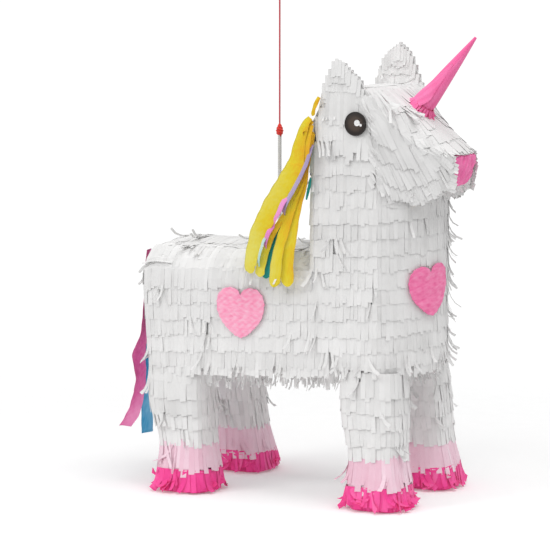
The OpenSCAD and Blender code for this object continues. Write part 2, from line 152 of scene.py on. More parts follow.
def scaled(nodes, links, source, factor, plus=None):
    """A socket that gives source times factor, plus another socket if one is given."""
    node = nodes.new("ShaderNodeMath")
    node.operation = "MULTIPLY" if plus is None else "MULTIPLY_ADD"
    node.inputs[1].default_value = factor
    links.new(source, node.inputs[0])
    if plus is not None:
        links.new(plus, node.inputs[2])
    return node.outputs["Value"]


def attribute(nodes, name):
    node = nodes.new("ShaderNodeAttribute")
    node.attribute_name = name
    return node.outputs["Fac"]


def noise(nodes, links, scale, stretch=(1, 1, 1), detail=3.0):
    """A socket of noise in the object's own coordinates."""
    coords = nodes.new("ShaderNodeTexCoord")
    mapping = nodes.new("ShaderNodeMapping")
    mapping.inputs["Scale"].default_value = stretch
    texture = nodes.new("ShaderNodeTexNoise")
    set_inputs(texture, {"Scale": scale, "Detail": detail, "Roughness": NOISE_ROUGHNESS})
    links.new(coords.outputs["Object"], mapping.inputs["Vector"])
    links.new(mapping.outputs["Vector"], texture.inputs["Vector"])
    return texture.outputs["Fac"]


def crepe(name, dark, base, light, crinkle=0.5):
    """Crepe paper: each strip has its own tint, with blotches and a fine crinkle."""
    material, nodes, links, shader = node_material(name)
    tint = scaled(nodes, links, attribute(nodes, "tint"), TINT_SHARE)
    blotch = noise(nodes, links, 38.0, detail=4.0)
    shade = scaled(nodes, links, blotch, BLOTCH_SHARE, plus=tint)
    colour_by(nodes, links, shade, [(0.15, dark), (0.5, base), (0.85, light)], shader.inputs["Base Color"])
    fine = noise(nodes, links, 900.0, stretch=(1, 1, 0.25), detail=2.0)
    bump_by(nodes, links, shader, fine, crinkle, 0.6 * MM)
    set_inputs(shader, {"Roughness": 0.82, "Sheen Weight": 0.15, "Sheen Roughness": 0.6,
                        "Specular IOR Level": 0.25})
    return material


WHITE = crepe("white_crepe", (0.66, 0.655, 0.65), (0.80, 0.795, 0.79), (0.88, 0.875, 0.87), crinkle=0.25)
HOT_PINK = crepe("hoof_crepe", (0.72, 0.014, 0.19), (0.95, 0.07, 0.34), (1.0, 0.22, 0.50))
PALE_PINK = crepe("ankle_crepe", (0.78, 0.45, 0.56), (0.87, 0.60, 0.70), (0.92, 0.76, 0.83))
HORN_PINK = crepe("horn_crepe", (0.78, 0.08, 0.26), (0.97, 0.16, 0.41), (1.0, 0.27, 0.54))
NOSE_PINK = crepe("nose_crepe", (0.80, 0.10, 0.33), (0.98, 0.17, 0.45), (1.0, 0.27, 0.55))
HEART_PINK = crepe("heart_crepe", (0.98, 0.26, 0.46), (1.0, 0.40, 0.58), (1.0, 0.56, 0.70))
DEEP_PINK = crepe("chest_heart_crepe", (0.88, 0.12, 0.34), (0.98, 0.22, 0.46), (1.0, 0.34, 0.56))
# The deep orange dark stop is what the ribbons' painted shade toward their upper ends reaches.
YELLOW = crepe("mane_yellow_crepe", (0.82, 0.40, 0.006), (0.78, 0.62, 0.02), (0.78, 0.71, 0.13))
TEAL = crepe("mane_teal_crepe", (0.0, 0.16, 0.15), (0.01, 0.28, 0.25), (0.03, 0.38, 0.34))
PALE_TEAL = crepe("mane_pale_crepe", (0.30, 0.58, 0.56), (0.50, 0.74, 0.72), (0.72, 0.82, 0.80))
LILAC = crepe("mane_lilac_crepe", (0.30, 0.24, 0.42), (0.42, 0.34, 0.56), (0.56, 0.48, 0.66))
MANE_PINK = crepe("mane_pink_crepe", (0.70, 0.20, 0.52), (0.83, 0.28, 0.64), (0.90, 0.40, 0.72))
TAIL_PINK = crepe("tail_pink_crepe", (0.60, 0.02, 0.20), (0.88, 0.14, 0.44), (1.0, 0.38, 0.66))
TAIL_BLUE = crepe("tail_blue_crepe", (0.01, 0.20, 0.46), (0.06, 0.46, 0.78), (0.24, 0.64, 0.90))


def cardboard(name, centre):
    """Brown board inside; the face that looks away from the centre carries a layer of white paper."""
    material, nodes, links, shader = node_material(name)
    geometry = nodes.new("ShaderNodeNewGeometry")
    offset = nodes.new("ShaderNodeVectorMath")
    offset.operation = "SUBTRACT"
    offset.inputs[1].default_value = centre
    links.new(geometry.outputs["Position"], offset.inputs[0])
    outward = nodes.new("ShaderNodeVectorMath")
    outward.operation = "DOT_PRODUCT"
    links.new(offset.outputs["Vector"], outward.inputs[0])
    links.new(geometry.outputs["True Normal"], outward.inputs[1])
    is_out = nodes.new("ShaderNodeMath")
    is_out.operation = "GREATER_THAN"
    is_out.inputs[1].default_value = 0.0
    links.new(outward.outputs["Value"], is_out.inputs[0])
    paper = nodes.new("ShaderNodeMix")
    paper.data_type = "RGBA"
    paper.inputs["B"].default_value = (0.78, 0.775, 0.77, 1)
    flutes = noise(nodes, links, 60.0, stretch=(1, 1, 0.2))
    colour_by(nodes, links, flutes, [(0.3, (0.34, 0.21, 0.10)), (0.7, (0.48, 0.32, 0.17))], paper.inputs["A"])
    links.new(is_out.outputs["Value"], paper.inputs["Factor"])
    links.new(paper.outputs["Result"], shader.inputs["Base Color"])
    bump_by(nodes, links, shader, flutes, 0.2, 0.4 * MM)
    shader.inputs["Roughness"].default_value = 0.85
    return material


def wood():
    material, nodes, links, shader = node_material("stick_wood")
    grain = noise(nodes, links, 120.0, stretch=(0.08, 1, 1))
    colour_by(nodes, links, grain, [(0.35, (0.42, 0.26, 0.12)), (0.65, (0.62, 0.43, 0.24))],
              shader.inputs["Base Color"])
    shader.inputs["Roughness"].default_value = 0.6
    return material


def thread(name, dark, light, scale):
    """Twisted thread: bright and dark turns along its length, painted light on the crests of the turns and
    painted shade in the grooves between them.
    """
    material, nodes, links, shader = node_material(name)
    coords = nodes.new("ShaderNodeTexCoord")
    wave = nodes.new("ShaderNodeTexWave")
    wave.wave_type = "BANDS"
    wave.bands_direction = "DIAGONAL"
    set_inputs(wave, {"Scale": scale, "Distortion": 1.5})
    links.new(coords.outputs["Object"], wave.inputs["Vector"])
    # Colour in step with the bump below: painted light on the turns' crests, painted shade in their grooves.
    colour_by(nodes, links, wave.outputs["Fac"], [(0.2, dark), (0.8, light)], shader.inputs["Base Color"])
    bump_by(nodes, links, shader, wave.outputs["Fac"], 0.5, 0.5 * MM)
    set_inputs(shader, {"Roughness": 0.7, "Sheen Weight": 0.3})
    return material


COTTON = thread("cotton_cord", (0.55, 0.54, 0.52), (0.80, 0.79, 0.77), 260.0)
RED_THREAD = thread("red_thread", (0.45, 0.02, 0.04), (0.72, 0.06, 0.08), 420.0)
KNOT_RED = thread("knot_red", (0.60, 0.01, 0.005), (0.82, 0.03, 0.01), 300.0)

# ---------------------------------------------------------------- camera and light

VIEW_AZIMUTH, VIEW_ELEVATION = math.radians(27), math.radians(6.5)
VIEW_TARGET = Vector((0.010, -0.095, 0.27))
VIEW_DISTANCE = 3.0
SENSOR_MM, LENS_MM = 36.0, 166.90909
FLOOR_HALF = 30.0


def make_camera():
    back = Vector((
        math.sin(VIEW_AZIMUTH) * math.cos(VIEW_ELEVATION),
        -math.cos(VIEW_AZIMUTH) * math.cos(VIEW_ELEVATION),
        math.sin(VIEW_ELEVATION),
    ))
    data = bpy.data.cameras.new("camera")
    data.sensor_width = SENSOR_MM
    data.lens = LENS_MM
    data.clip_end = 50.0
    camera = bpy.data.objects.new("camera", data)
    camera.location = VIEW_TARGET + back * VIEW_DISTANCE
    camera.rotation_euler = back.to_track_quat("Z", "Y").to_euler()
    bpy.context.scene.collection.objects.link(camera)
    bpy.context.scene.camera = camera


def area_light(name, location, target, size, power):
    data = bpy.data.lights.new(name, "AREA")
    data.shape = "DISK"
    data.size = size
    data.energy = power
    light = bpy.data.objects.new(name, data)
    light.location = location
    aim = Vector(location) - Vector(target)
    light.rotation_euler = aim.to_track_quat("Z", "Y").to_euler()
    bpy.context.scene.collection.objects.link(light)


def soft_world():
    """Soft light from all round, behind which only the camera sees plain white."""
    world = bpy.data.worlds.new("studio")
    world.use_nodes = True
    nodes, links = world.node_tree.nodes, world.node_tree.links
    soft, plain = nodes["Background"], nodes.new("ShaderNodeBackground")
    for background, strength in ((soft, 0.53), (plain, 1.05)):
        set_inputs(background, {"Color": (1, 1, 1, 1), "Strength": strength})
    seen = nodes.new("ShaderNodeLightPath")
    pick = nodes.new("ShaderNodeMixShader")
    links.new(seen.outputs["Is Camera Ray"], pick.inputs["Fac"])
    links.new(soft.outputs["Background"], pick.inputs[1])
    links.new(plain.outputs["Background"], pick.inputs[2])
    links.new(pick.outputs["Shader"], nodes["World Output"].inputs["Surface"])
    bpy.context.scene.world = world


def floor_material():
    """Pale paper that fades out away from the object."""
    material, nodes, links, shader = node_material("floor_paper")
    grain = noise(nodes, links, 40.0)
    colour_by(nodes, links, grain, [(0.3, (0.90, 0.90, 0.90)), (0.7, (0.92, 0.92, 0.92))],
              shader.inputs["Base Color"])
    set_inputs(shader, {"Roughness": 0.9, "Emission Color": (1, 1, 1, 1), "Emission Strength": 0.16})
    where = nodes.new("ShaderNodeNewGeometry")
    away = nodes.new("ShaderNodeVectorMath")
    away.operation = "LENGTH"
    links.new(where.outputs["Position"], away.inputs[0])
    fade = nodes.new("ShaderNodeMapRange")
    fade.interpolation_type = "SMOOTHSTEP"
    set_inputs(fade, {"From Min": 0.35, "From Max": 1.30, "To Min": 1.0, "To Max": 0.0})
    links.new(away.outputs["Value"], fade.inputs["Value"])
    links.new(fade.outputs["Result"], shader.inputs["Alpha"])
    return material


def studio():
    scene = bpy.context.scene
    scene.view_settings.view_transform = "Standard"
    soft_world()
    area_light("key", (-1.6, -2.3, 1.9), target=(0, 0, 0.25), size=1.6, power=24)
    area_light("top", (0.7, -0.2, 2.5), target=(0, 0, 0.3), size=1.8, power=26)
    area_light("head_fill", (0.45, -1.15, 1.35), target=(0.12, 0, 0.50), size=0.6, power=2.6)
    mesh = bpy.data.meshes.new("floor")
    r = FLOOR_HALF
    mesh.from_pydata([(-r, -r, 0), (r, -r, 0), (r, r, 0), (-r, r, 0)], [], [(0, 1, 2, 3)])
    mesh.materials.append(floor_material())
    floor = bpy.data.objects.new("floor", mesh)
    scene.collection.objects.link(floor)


make_camera()
studio()

# ---------------------------------------------------------------- cords


def spline_through(points, per=6):
    """Points on a smooth line through the given ones."""
    p = np.array(points, float)
    p = np.vstack([2 * p[0] - p[1], p, 2 * p[-1] - p[-2]])
    out = []
    for a, b, c, d in zip(p, p[1:], p[2:], p[3:]):
        for k in range(per):
            t = k / per
            out.append(0.5 * (2 * b + (c - a) * t + (2 * a - 5 * b + 4 * c - d) * t**2
                              + (3 * b - 3 * c + d - a) * t**3))
    return np.array(out + [p[-2]])


def line_curve(name, points, radius, material):
    """One open curve with a round section, riding on the shell."""
    data = bpy.data.curves.new(name, "CURVE")
    data.dimensions = "3D"
    data.bevel_depth = radius
    data.bevel_resolution = 4
    data.use_fill_caps = True
    line = data.splines.new("POLY")
    line.points.add(len(points) - 1)
    for point, place in zip(line.points, points):
        point.co = (*place, 1)
    data.materials.append(material)
    obj = bpy.data.objects.new(name, data)
    bpy.context.scene.collection.objects.link(obj)
    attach(obj, "shell")
    return obj


CORD_X = -32.0
HANG_R, STRING_R = 1.5 * MM, 1.0 * MM
HANG_HALF = [(0.4, 286.8), (4, 287.9), (5.7, 292.5), (4.6, 304), (2.4, 330), (1.8, 380), (1.8, 428),
             (1.4, 433)]
HANG_TOP = 435
STRING_YZ = [(0, 442), (0, 520), (0, 590), (-0.8, 598), (-3, 604), (-6.5, 612), (-6, 619), (0, 623),
             (6, 619), (6.5, 612), (3.2, 604), (1.6, 599)]


def taut_cord(name, route, radius, material, slot):
    """One cord held taut through a route in mm, starting where it leaves the object."""
    line = spline_through(np.array(route) * MM)
    obj = line_curve(name, line, radius, material)
    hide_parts(slot)


def cords():
    """The doubled white cord from the stick in the back to its knot, and the red string above it."""
    half = [(CORD_X, -y, z) for y, z in HANG_HALF]
    route = half + [(CORD_X, 0, HANG_TOP)] + [(CORD_X, -y, z) for _, y, z in reversed(half)]
    taut_cord("cotton_loop", route, HANG_R, COTTON, "hang_cord")
    string = [(CORD_X, y, z) for y, z in STRING_YZ]
    taut_cord("red_hanging_string", string, STRING_R, RED_THREAD, "red_string")


cords()

# ---------------------------------------------------------------- meshes


def piece(name, points, quads, material, nodes=(), body="shell", tint=None, flat=False):
    """An object from point and quad arrays that rides on a body and stands for CAD nodes.
    tint holds one value for each point, or a run of values that repeats, such as one for each face of a
    plate."""
    mesh = bpy.data.meshes.new(name)
    quads = np.asarray(quads, np.int32)
    mesh.vertices.add(len(points))
    mesh.vertices.foreach_set("co", np.asarray(points, np.float32).ravel())
    mesh.loops.add(quads.size)
    mesh.loops.foreach_set("vertex_index", quads.ravel())
    mesh.polygons.add(len(quads))
    mesh.polygons.foreach_set("loop_start", np.arange(len(quads), dtype=np.int32) * 4)
    mesh.update(calc_edges=True)
    mesh.validate()
    mesh.polygons.foreach_set("use_smooth", np.full(len(mesh.polygons), not flat))
    tint = np.full(len(points), 0.5) if tint is None else np.ravel(tint)
    tint = np.tile(tint, len(points) // len(tint)).clip(0, 1)
    mesh.attributes.new("tint", "FLOAT", "POINT").data.foreach_set("value", tint.astype(np.float32))
    mesh.materials.append(material)
    obj = bpy.data.objects.new(name, mesh)
    bpy.context.scene.collection.objects.link(obj)
    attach(obj, body)
    if nodes:
        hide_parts(*nodes)
    return obj


def plate_arrays(front, back):
    """A closed thin solid between two grids of points, each (rows, columns, 3)."""
    m, n = front.shape[:2]
    index = np.arange(m * n).reshape(m, n)
    other = index + m * n

    def cells(grid, order):
        a, b, c, d = grid[:-1, :-1], grid[1:, :-1], grid[1:, 1:], grid[:-1, 1:]
        return np.stack([(a, b, c, d)[k] for k in order], -1).reshape(-1, 4)

    rim = np.concatenate([index[:, 0], index[-1, 1:], index[-2::-1, -1], index[0, -2:0:-1]])
    rim_other = rim + m * n
    sides = np.stack([rim, rim_other, np.roll(rim_other, -1), np.roll(rim, -1)], -1)
    points = np.concatenate([front.reshape(-1, 3), back.reshape(-1, 3)])
    return points, np.vstack([cells(index, (0, 1, 2, 3)), cells(other, (3, 2, 1, 0)), sides[:, ::-1]])


def strip_arrays(centre, side, normal):
    """Closed thin strips from rings of centres, half-width and half-thickness vectors, each (n, rings, 3)."""
    n, rings = centre.shape[:2]
    corners = np.stack([centre - side - normal, centre + side - normal,
                        centre + side + normal, centre - side + normal], axis=2)
    points = corners.reshape(-1, 3)
    ring = (np.arange(n)[:, None] * rings + np.arange(rings)[None]) * 4
    walls = [np.stack([ring[:, :-1] + a, ring[:, :-1] + b, ring[:, 1:] + b, ring[:, 1:] + a], axis=-1)
             for a, b in ((0, 1), (1, 2), (2, 3), (3, 0))]
    start = np.stack([ring[:, 0] + k for k in (3, 2, 1, 0)], axis=-1)[:, None]
    end = np.stack([ring[:, -1] + k for k in (0, 1, 2, 3)], axis=-1)[:, None]
    quads = np.concatenate(walls + [start, end], axis=1).reshape(-1, 4)
    return points, quads


MOTTLE_WAVES, MOTTLE_SCALE = 14, 4.2


def mottle(a, b, size):
    """Uneven patches of about that size, between -1 and 1."""
    total = 0
    for _ in range(MOTTLE_WAVES):
        way, reach = rng.uniform(0, 2 * np.pi), rng.uniform(0.6, 1.8) / size
        shift = rng.uniform(0, 2 * np.pi)
        total = total + np.sin((a * math.cos(way) + b * math.sin(way)) * reach * 2 * np.pi + shift)
    return np.clip(total / MOTTLE_SCALE, -1, 1)


class Fringe:
    """Strips of cut crepe, gathered by the piece that they belong to."""

    def __init__(self):
        self.bins = {}

    def add(self, key, centre, side, normal, tint):
        self.bins.setdefault(key, []).append((centre, side, normal, tint))

    def build(self, key, name, material, nodes=(), body="shell"):
        """One piece of all the strips under a key, each bent up where it would go under the floor."""
        centre, side, normal, tint = (np.concatenate(x) for x in zip(*self.bins[key]))
        low = (centre[..., 2] - 2.5 * MM).min(axis=1)
        centre[..., 2] += np.maximum(0.4 * MM - low, 0)[:, None] * np.linspace(0, 1, RINGS)
        points, quads = strip_arrays(centre, side, normal)
        points[:, 2] = np.maximum(points[:, 2], 0.2 * MM)
        piece(name, points, quads, material, nodes, body, np.repeat(tint, RINGS * 4), flat=True)


fringe = Fringe()

SIDE_HEART = np.array([-38, 0, 224]) * MM
CHEST_HEART = np.array([0, -25, 256]) * MM
EYE = np.array([112, 0, 450]) * MM
FACES_FRONT, FACES_REAR = 0.62, -0.7
AHEAD = 0.5 * MM
STRIP_HALF_T = 0.09 * MM
NEW_SHEET = 0.05
SHEET_TINT = STRIP_TINT = 0.10
WAVE_SPAN = 9


def calm_zone(points):
    """Where nothing curls over what is glued on: above and on the hearts and the eyes."""
    x, y, z = points.T

    def over(across, middle, half, low, high):
        return (np.abs(across) < half) & (z > middle - low) & (z < middle + high)
    flat_side = np.abs(y) > HALF_W - 6 * MM
    heart = flat_side & over(x - SIDE_HEART[0], SIDE_HEART[2], 44 * MM, 34 * MM, 84 * MM)
    eye = flat_side & over(x - EYE[0], EYE[2], 30 * MM, 22 * MM, 72 * MM)
    chest = (x > SIDE_X) & over(y - CHEST_HEART[1], CHEST_HEART[2], 44 * MM, 34 * MM, 84 * MM)
    return heart | eye | chest


def row(at, u, v, length=STRIP_L, width=STRIP_W, calm=0.9, curl_share=0.028, lift=2.3 * MM,
        rise=0.046, keep=None, key=None, lateral=0.0, max_curl=80, spread=1.0, ragged=0.035, flare=0.0,
        slim=0.6):
    """One row of strips. at(u, v) gives surface points and outward normals, u is where each strip hangs and
    v its upper end's distance down the surface. curl_share is how many curl, up to max_curl degrees, and
    calm how uneven the others are; the curly ones are narrower by slim and drift aside by spread. lift and
    rise hold the strips off the surface, lateral turns them aside in degrees, ragged varies their lengths
    and flare widens their tips. keep(points, normals) says which stay, and key names their piece."""
    n = len(u)
    sheet = np.cumsum(rng.random(n) < NEW_SHEET)
    sheet_lift = rng.uniform(0, 0.35 * MM, n + 1)[sheet]
    sheet_drop = rng.normal(0, 0.7 * MM, n + 1)[sheet]
    sheet_tint = rng.normal(0, SHEET_TINT, n + 1)[sheet]
    u = u + rng.normal(0, 0.10 * MM, n)
    v = np.broadcast_to(v, (n,)) + sheet_drop
    length = np.broadcast_to(length, (n,)) * rng.normal(1, ragged, n).clip(0.7, 1.2)
    width = np.broadcast_to(width, (n,)) * rng.normal(1.09, 0.05, n).clip(0.8, 1.25)
    t = np.linspace(0, 1, RINGS)[None]
    start_points, start_normals = at(u, v)
    near_glued = calm_zone(start_points)
    bunch = False
    if n > 3:
        bunch = np.convolve(rng.random(n) < curl_share * 0.35, np.ones(3), "same")[:n] > 0
    wild = ((rng.random(n) < curl_share * 0.6) | bunch) & ~near_glued
    curl = np.where(wild, rng.uniform(18, max_curl, n), rng.normal(0.8, 1.8, n) * calm)
    width = np.where(wild, slim * width, width)
    drift = np.where(wild, rng.normal(0, 22, n), rng.normal(0, 0.8, n) * calm) * spread
    waves = np.cumsum(rng.normal(0, 1, n))
    if n >= WAVE_SPAN:
        waves = waves - np.convolve(waves, np.ones(WAVE_SPAN) / WAVE_SPAN, "same")
    waves = waves * 0.15 * calm
    twist = np.where(wild, rng.normal(0, 45, n), rng.normal(0, 1.6, n) * calm)
    power = np.where(wild, rng.uniform(1.8, 4.2, n), 1.8)
    bend = np.radians(curl[:, None]) * t ** power[:, None]
    aside = np.radians((lateral + waves)[:, None] + drift[:, None] * t)
    step = length[:, None] / (RINGS - 1)

    def walked(share):
        """Distance gone at each ring, from the share of each step that goes that way."""
        gone = np.cumsum((share[:, 1:] + share[:, :-1]) / 2 * step, axis=1)
        return np.concatenate([np.zeros((n, 1)), gone], axis=1)
    run, across = walked(np.cos(bend) * np.cos(aside)), walked(np.cos(bend) * np.sin(aside))
    slack = np.where(near_glued, 0.5, 1.0)
    layer = sheet_lift * slack + (np.arange(n) % 2) * 0.16 * MM
    off = walked(np.sin(bend)) * slack[:, None] + lift + rise * run + layer[:, None]
    uu, vv = u[:, None] + across, v[:, None] + run
    points, normals = at(uu, vv)
    ahead, ahead_normals = at(uu + AHEAD, vv)
    centre = points + normals * off[..., None]
    line = unit(np.gradient(centre, axis=1))
    side = ahead + ahead_normals * off[..., None] - centre
    stretch = (np.linalg.norm(side, axis=-1) / AHEAD).clip(0.9, 1.9)
    side = unit(side - (side * line).sum(-1, keepdims=True) * line)
    angle = np.radians(twist[:, None] * t)[..., None]
    turned = side * np.cos(angle) + np.cross(line, side) * np.sin(angle)
    half = (width[:, None] / 2 * stretch * (1 + flare * t) * np.where(t > 0.99, 0.95, 1.0))[..., None]
    thick = np.cross(line, turned) * STRIP_HALF_T
    ok = np.ones(n, bool) if keep is None else keep(start_points, start_normals)
    if not ok.any():
        return
    tint = (rng.normal(0.5, STRIP_TINT, n) + sheet_tint).clip(0, 1)
    keys = key(start_points, start_normals) if callable(key) else np.full(n, key)
    for name in np.unique(keys[ok]):
        chosen = ok & (keys == name)
        fringe.add(str(name), centre[chosen], (turned * half)[chosen], thick[chosen], tint[chosen])


def spaced(length, width=STRIP_W, start=0.0):
    """Places for strips of about that width, side by side along a length."""
    n = max(1, int(length / width))
    return start + (np.arange(n) + 0.5) * (length / n)


# ---------------------------------------------------------------- outlines


class Loop:
    """A closed outline in plan, walked by its arc length, with outward normals."""

    def __init__(self, points):
        dense = []
        points = np.array(points, float)
        for a, b in zip(points, np.roll(points, -1, axis=0)):
            steps = max(1, int(np.linalg.norm(b - a) / (2 * MM)))
            dense += [a + (b - a) * k / steps for k in range(steps)]
        self.p = np.array(dense)
        following = np.roll(self.p, -1, axis=0)
        self.s = np.concatenate([[0], np.cumsum(np.linalg.norm(following - self.p, axis=1))])
        self.length = self.s[-1]
        tangent = unit(np.roll(self.p, -4, axis=0) - np.roll(self.p, 4, axis=0))
        self.n = np.stack([tangent[:, 1], -tangent[:, 0]], axis=1)
        self.closed_p = np.vstack([self.p, self.p[:1]])
        self.closed_n = np.vstack([self.n, self.n[:1]])

    def at(self, u):
        u = np.mod(u, self.length)
        p = [np.interp(u, self.s, self.closed_p[:, k]) for k in (0, 1)]
        n = [np.interp(u, self.s, self.closed_n[:, k]) for k in (0, 1)]
        return p[0], p[1], n[0], n[1]


def arc(cx, cy, r, a0, a1, n):
    """Points on a round stretch from angle a0 to a1, in degrees."""
    return [(cx + r * math.cos(math.radians(mix(a0, a1, k / n))),
             cy + r * math.sin(math.radians(mix(a0, a1, k / n)))) for k in range(n + 1)]


CHEST_HALF = math.degrees(math.asin(HALF_W / CHEST_R))


def body_loop(rear_x, r=5 * MM):
    """Counter-clockwise from the chest's right edge, so that normals point outward."""
    w = HALF_W
    return Loop(arc(CHEST_CX, 0, CHEST_R, -CHEST_HALF, CHEST_HALF, 30)
                + arc(rear_x + r, w - r, r, 90, 180, 5)
                + arc(rear_x + r, -w + r, r, 180, 270, 5))


def belly(x):
    """Height of the body's underside."""
    return BELLY_Z + BELLY_SLOPE * (x - RUMP_FOOT_X)


def rump_x_at(z):
    """Where the sloping rump is at a height."""
    return mix(RUMP_FOOT_X, RUMP_X, np.clip((z - BELLY_Z) / (CREASE_Z - BELLY_Z), -0.3, 1))


def wall_at(loop, height, lean):
    """Surface of an upright wall whose rows run parallel to the belly, height above it."""
    def at(u, v):
        x, y, nx, ny = loop.at(u)
        z = belly(x) + height - v
        if lean:
            rearward = smooth((-110 * MM - x) / (50 * MM))
            x = x + (rump_x_at(z) - RUMP_X) * rearward + 2.5 * MM * np.minimum(nx, 0)
        return xyz(x, y, z), unit(xyz(nx, ny, 0))
    return at


def wall_key(points, normals):
    """Which piece each strip on a wall belongs to."""
    names = np.where(normals[:, 1] < 0, "side_right", "side_left")
    names = np.where(normals[:, 0] > FACES_FRONT, "chest", names)
    return np.where(normals[:, 0] < FACES_REAR, np.where(points[:, 0] < 0, "rump", "crest"), names)


def curly_chest(loop, u, elsewhere):
    """Share of curly strips round a loop, larger at the chest's far edge, and the loop's normals in X."""
    _, y, nx, _ = loop.at(u)
    return np.where((nx > 0.5) & (y > 25 * MM), 0.22, elsewhere), nx


def cheek_line_x(z):
    """Front edge of the head's flat side at a height."""
    return mix(SIDE_X, BROW_X, (z - THROAT_Z) / (BROW_Z - THROAT_Z))


def arch_height(y, grow=SKIN):
    """Height of the arched back, or of a layer on it."""
    return ARCH_Z + np.sqrt(np.maximum((ARCH_R + grow) ** 2 - y**2, 0))


def in_outline(x, z, outline):
    """Which points are inside a closed outline of (x, z)."""
    inside = np.zeros(np.shape(x), bool)
    for (x0, z0), (x1, z1) in zip(outline, outline[1:] + outline[:1]):
        crosses = (z0 > z) != (z1 > z)
        edge = x0 + (z - z0) / ((z1 - z0) or 1e-9) * (x1 - x0)
        inside ^= crosses & (x < edge)
    return inside


# ---------------------------------------------------------------- fringe on the body

torso = body_loop(RUMP_X)
column = body_loop(NECK_X - 4 * MM)
BODY_ROWS, ALL_ROWS = 6, 19
TIPS = [-13 * MM + PITCH * k for k in range(ALL_ROWS)]
LOWEST_RAISED = 9 * MM


def torso_rows():
    u = spaced(torso.length)
    share, nx = curly_chest(torso, u, elsewhere=0.025)
    share = share + np.where(nx < FACES_REAR, 0.06, 0)
    lowest = {"curl_share": np.maximum(share, 0.10), "calm": 1.2}
    for k, tip in enumerate(TIPS[:BODY_ROWS]):
        height = tip + STRIP_L + (LOWEST_RAISED if k == 0 else 0)
        style = lowest if k == 0 else {"curl_share": share}
        row(wall_at(torso, height, lean=True), u, 0.0, key=wall_key, **style)


def belly_rows():
    """Thin curls that hang inside the body's lower edge, in two layers."""
    under = body_loop(RUMP_FOOT_X + 9 * MM)
    wall = wall_at(under, 12 * MM, lean=False)

    def inside(u, v):
        points, normals = wall(u, v)
        return points - normals * 8 * MM, normals
    for drop in (0, 4 * MM):
        row(inside, spaced(under.length, 3.4 * MM), drop, length=25 * MM, width=3.0 * MM, key=wall_key,
            curl_share=0.6, calm=3.5, lift=0, rise=-0.1 - drop / (100 * MM), max_curl=70, ragged=0.12)


def neck_keep(p, n):
    """Keeps the strips that start on the neck or on the head's flat sides."""
    x, y, z = p.T
    front, rear = n[:, 0] > FACES_FRONT, n[:, 0] < FACES_REAR
    flat = ~front & ~rear
    ok = ~front | (z < 402 * MM)
    ok &= ~rear | ((z > arch_height(y) + 6 * MM) & (z < CREST_Z - 1 * MM))
    in_head = (x < cheek_line_x(z) + rng.normal(4, 2, len(x)) * MM) | (z < THROAT_Z + 6 * MM)
    below_top = in_outline(x, z, [(NECK_X - 14 * MM, 0), (SIDE_X + 9 * MM, 0), (SIDE_X + 9 * MM, BROW_Z),
                                  (BROW_X, BROW_Z), (CROWN_X, CROWN_Z), (NECK_X, CREST_Z),
                                  (NECK_X - 14 * MM, CREST_Z)])
    return ok & (~flat | (in_head & below_top))


NECK_LIFT = 2.3 * MM
RAGGED_Z = 408 * MM
RAGGED_ROW = {"curl_share": 0.36, "calm": 1.8, "rise": 0.08, "max_curl": 55, "ragged": 0.10,
              "length": STRIP_L + 5 * MM}


def neck_wall(height):
    """The neck's wall, sunk a little where the cheek's fringe begins."""
    wall = wall_at(column, height, lean=False)

    def at(u, v):
        points, normals = wall(u, v)
        x, z = points[..., 0], points[..., 2]
        seam = smooth((x - cheek_line_x(z)) / (16 * MM) + 1) * smooth((z - THROAT_Z + 20 * MM) / (20 * MM))
        seam = seam * (np.abs(normals[..., 1]) > 0.9)
        return points - normals * (2.2 * MM * seam)[..., None], normals
    return at


def neck_rows():
    u = spaced(column.length)
    plain_row = {"curl_share": curly_chest(column, u, elsewhere=0.03)[0]}
    for tip in TIPS[BODY_ROWS:]:
        z_tip = belly(NECK_X) + tip
        ragged = abs(z_tip - RAGGED_Z) < PITCH / 2
        lift = NECK_LIFT + (0.8 * MM if z_tip >= RAGGED_Z - PITCH / 2 else 0)
        row(neck_wall(tip + STRIP_L + (4 * MM if ragged else 0)), u, 0.0, keep=neck_keep, key=wall_key,
            lift=lift, **(RAGGED_ROW if ragged else plain_row))


def flat_face(y, outward, top):
    """A flat face across Y: u forward, v down from the top."""
    def at(u, v):
        return xyz(u, y, top - v), all_facing(u, 0, outward, 0)
    return at


def card_outline(node):
    """The outline in X and Z of a flat card node, walked round, its middle as the pole."""
    points = np.array([tuple(v.co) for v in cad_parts[node].data.vertices])[:, [0, 2]]
    points = np.unique(points.round(4), axis=0)
    middle = points.mean(axis=0)
    order = np.argsort(np.arctan2(points[:, 1] - middle[1], points[:, 0] - middle[0]))
    return [tuple(p) for p in points[order]]


EAR_PITCH, EAR_STRIP_W = 11 * MM, 4.0 * MM


def ear_rows():
    for side, node in ((-1, "ear_right"), (1, "ear_left")):
        outline = card_outline(node)
        highest = max(z for _, z in outline)
        for y, outward in ((side * HALF_W, side), (side * (HALF_W - 3 * MM), -side)):
            for k in range(7):
                top = highest + 2 * MM - EAR_PITCH * k
                u = spaced(BROW_X - NECK_X + 8 * MM, EAR_STRIP_W, NECK_X - 4 * MM)
                drops = np.arange(0, EAR_PITCH, 1.5 * MM)
                inside = np.array([in_outline(u, top - 1 * MM - d, outline) for d in drops])
                u, drop = u[inside.any(axis=0)], drops[inside.argmax(axis=0)][inside.any(axis=0)]
                if len(u):
                    row(flat_face(y, outward, top), u, drop, length=19 * MM, width=4.3 * MM, key="ears",
                        calm=1.5, curl_share=0.07, rise=0.10, lift=1.6 * MM,
                        lateral=(90 * MM - u) / MM * 0.22)


def bulge(y):
    """How much fuller the fringe makes the back between its ridge and its edges."""
    from_ridge, from_edge = np.abs(y) - 38 * MM, HALF_W + 1 * MM - np.abs(y)
    return 5 * MM * smooth(from_ridge / (18 * MM)) * smooth(from_edge / (20 * MM))


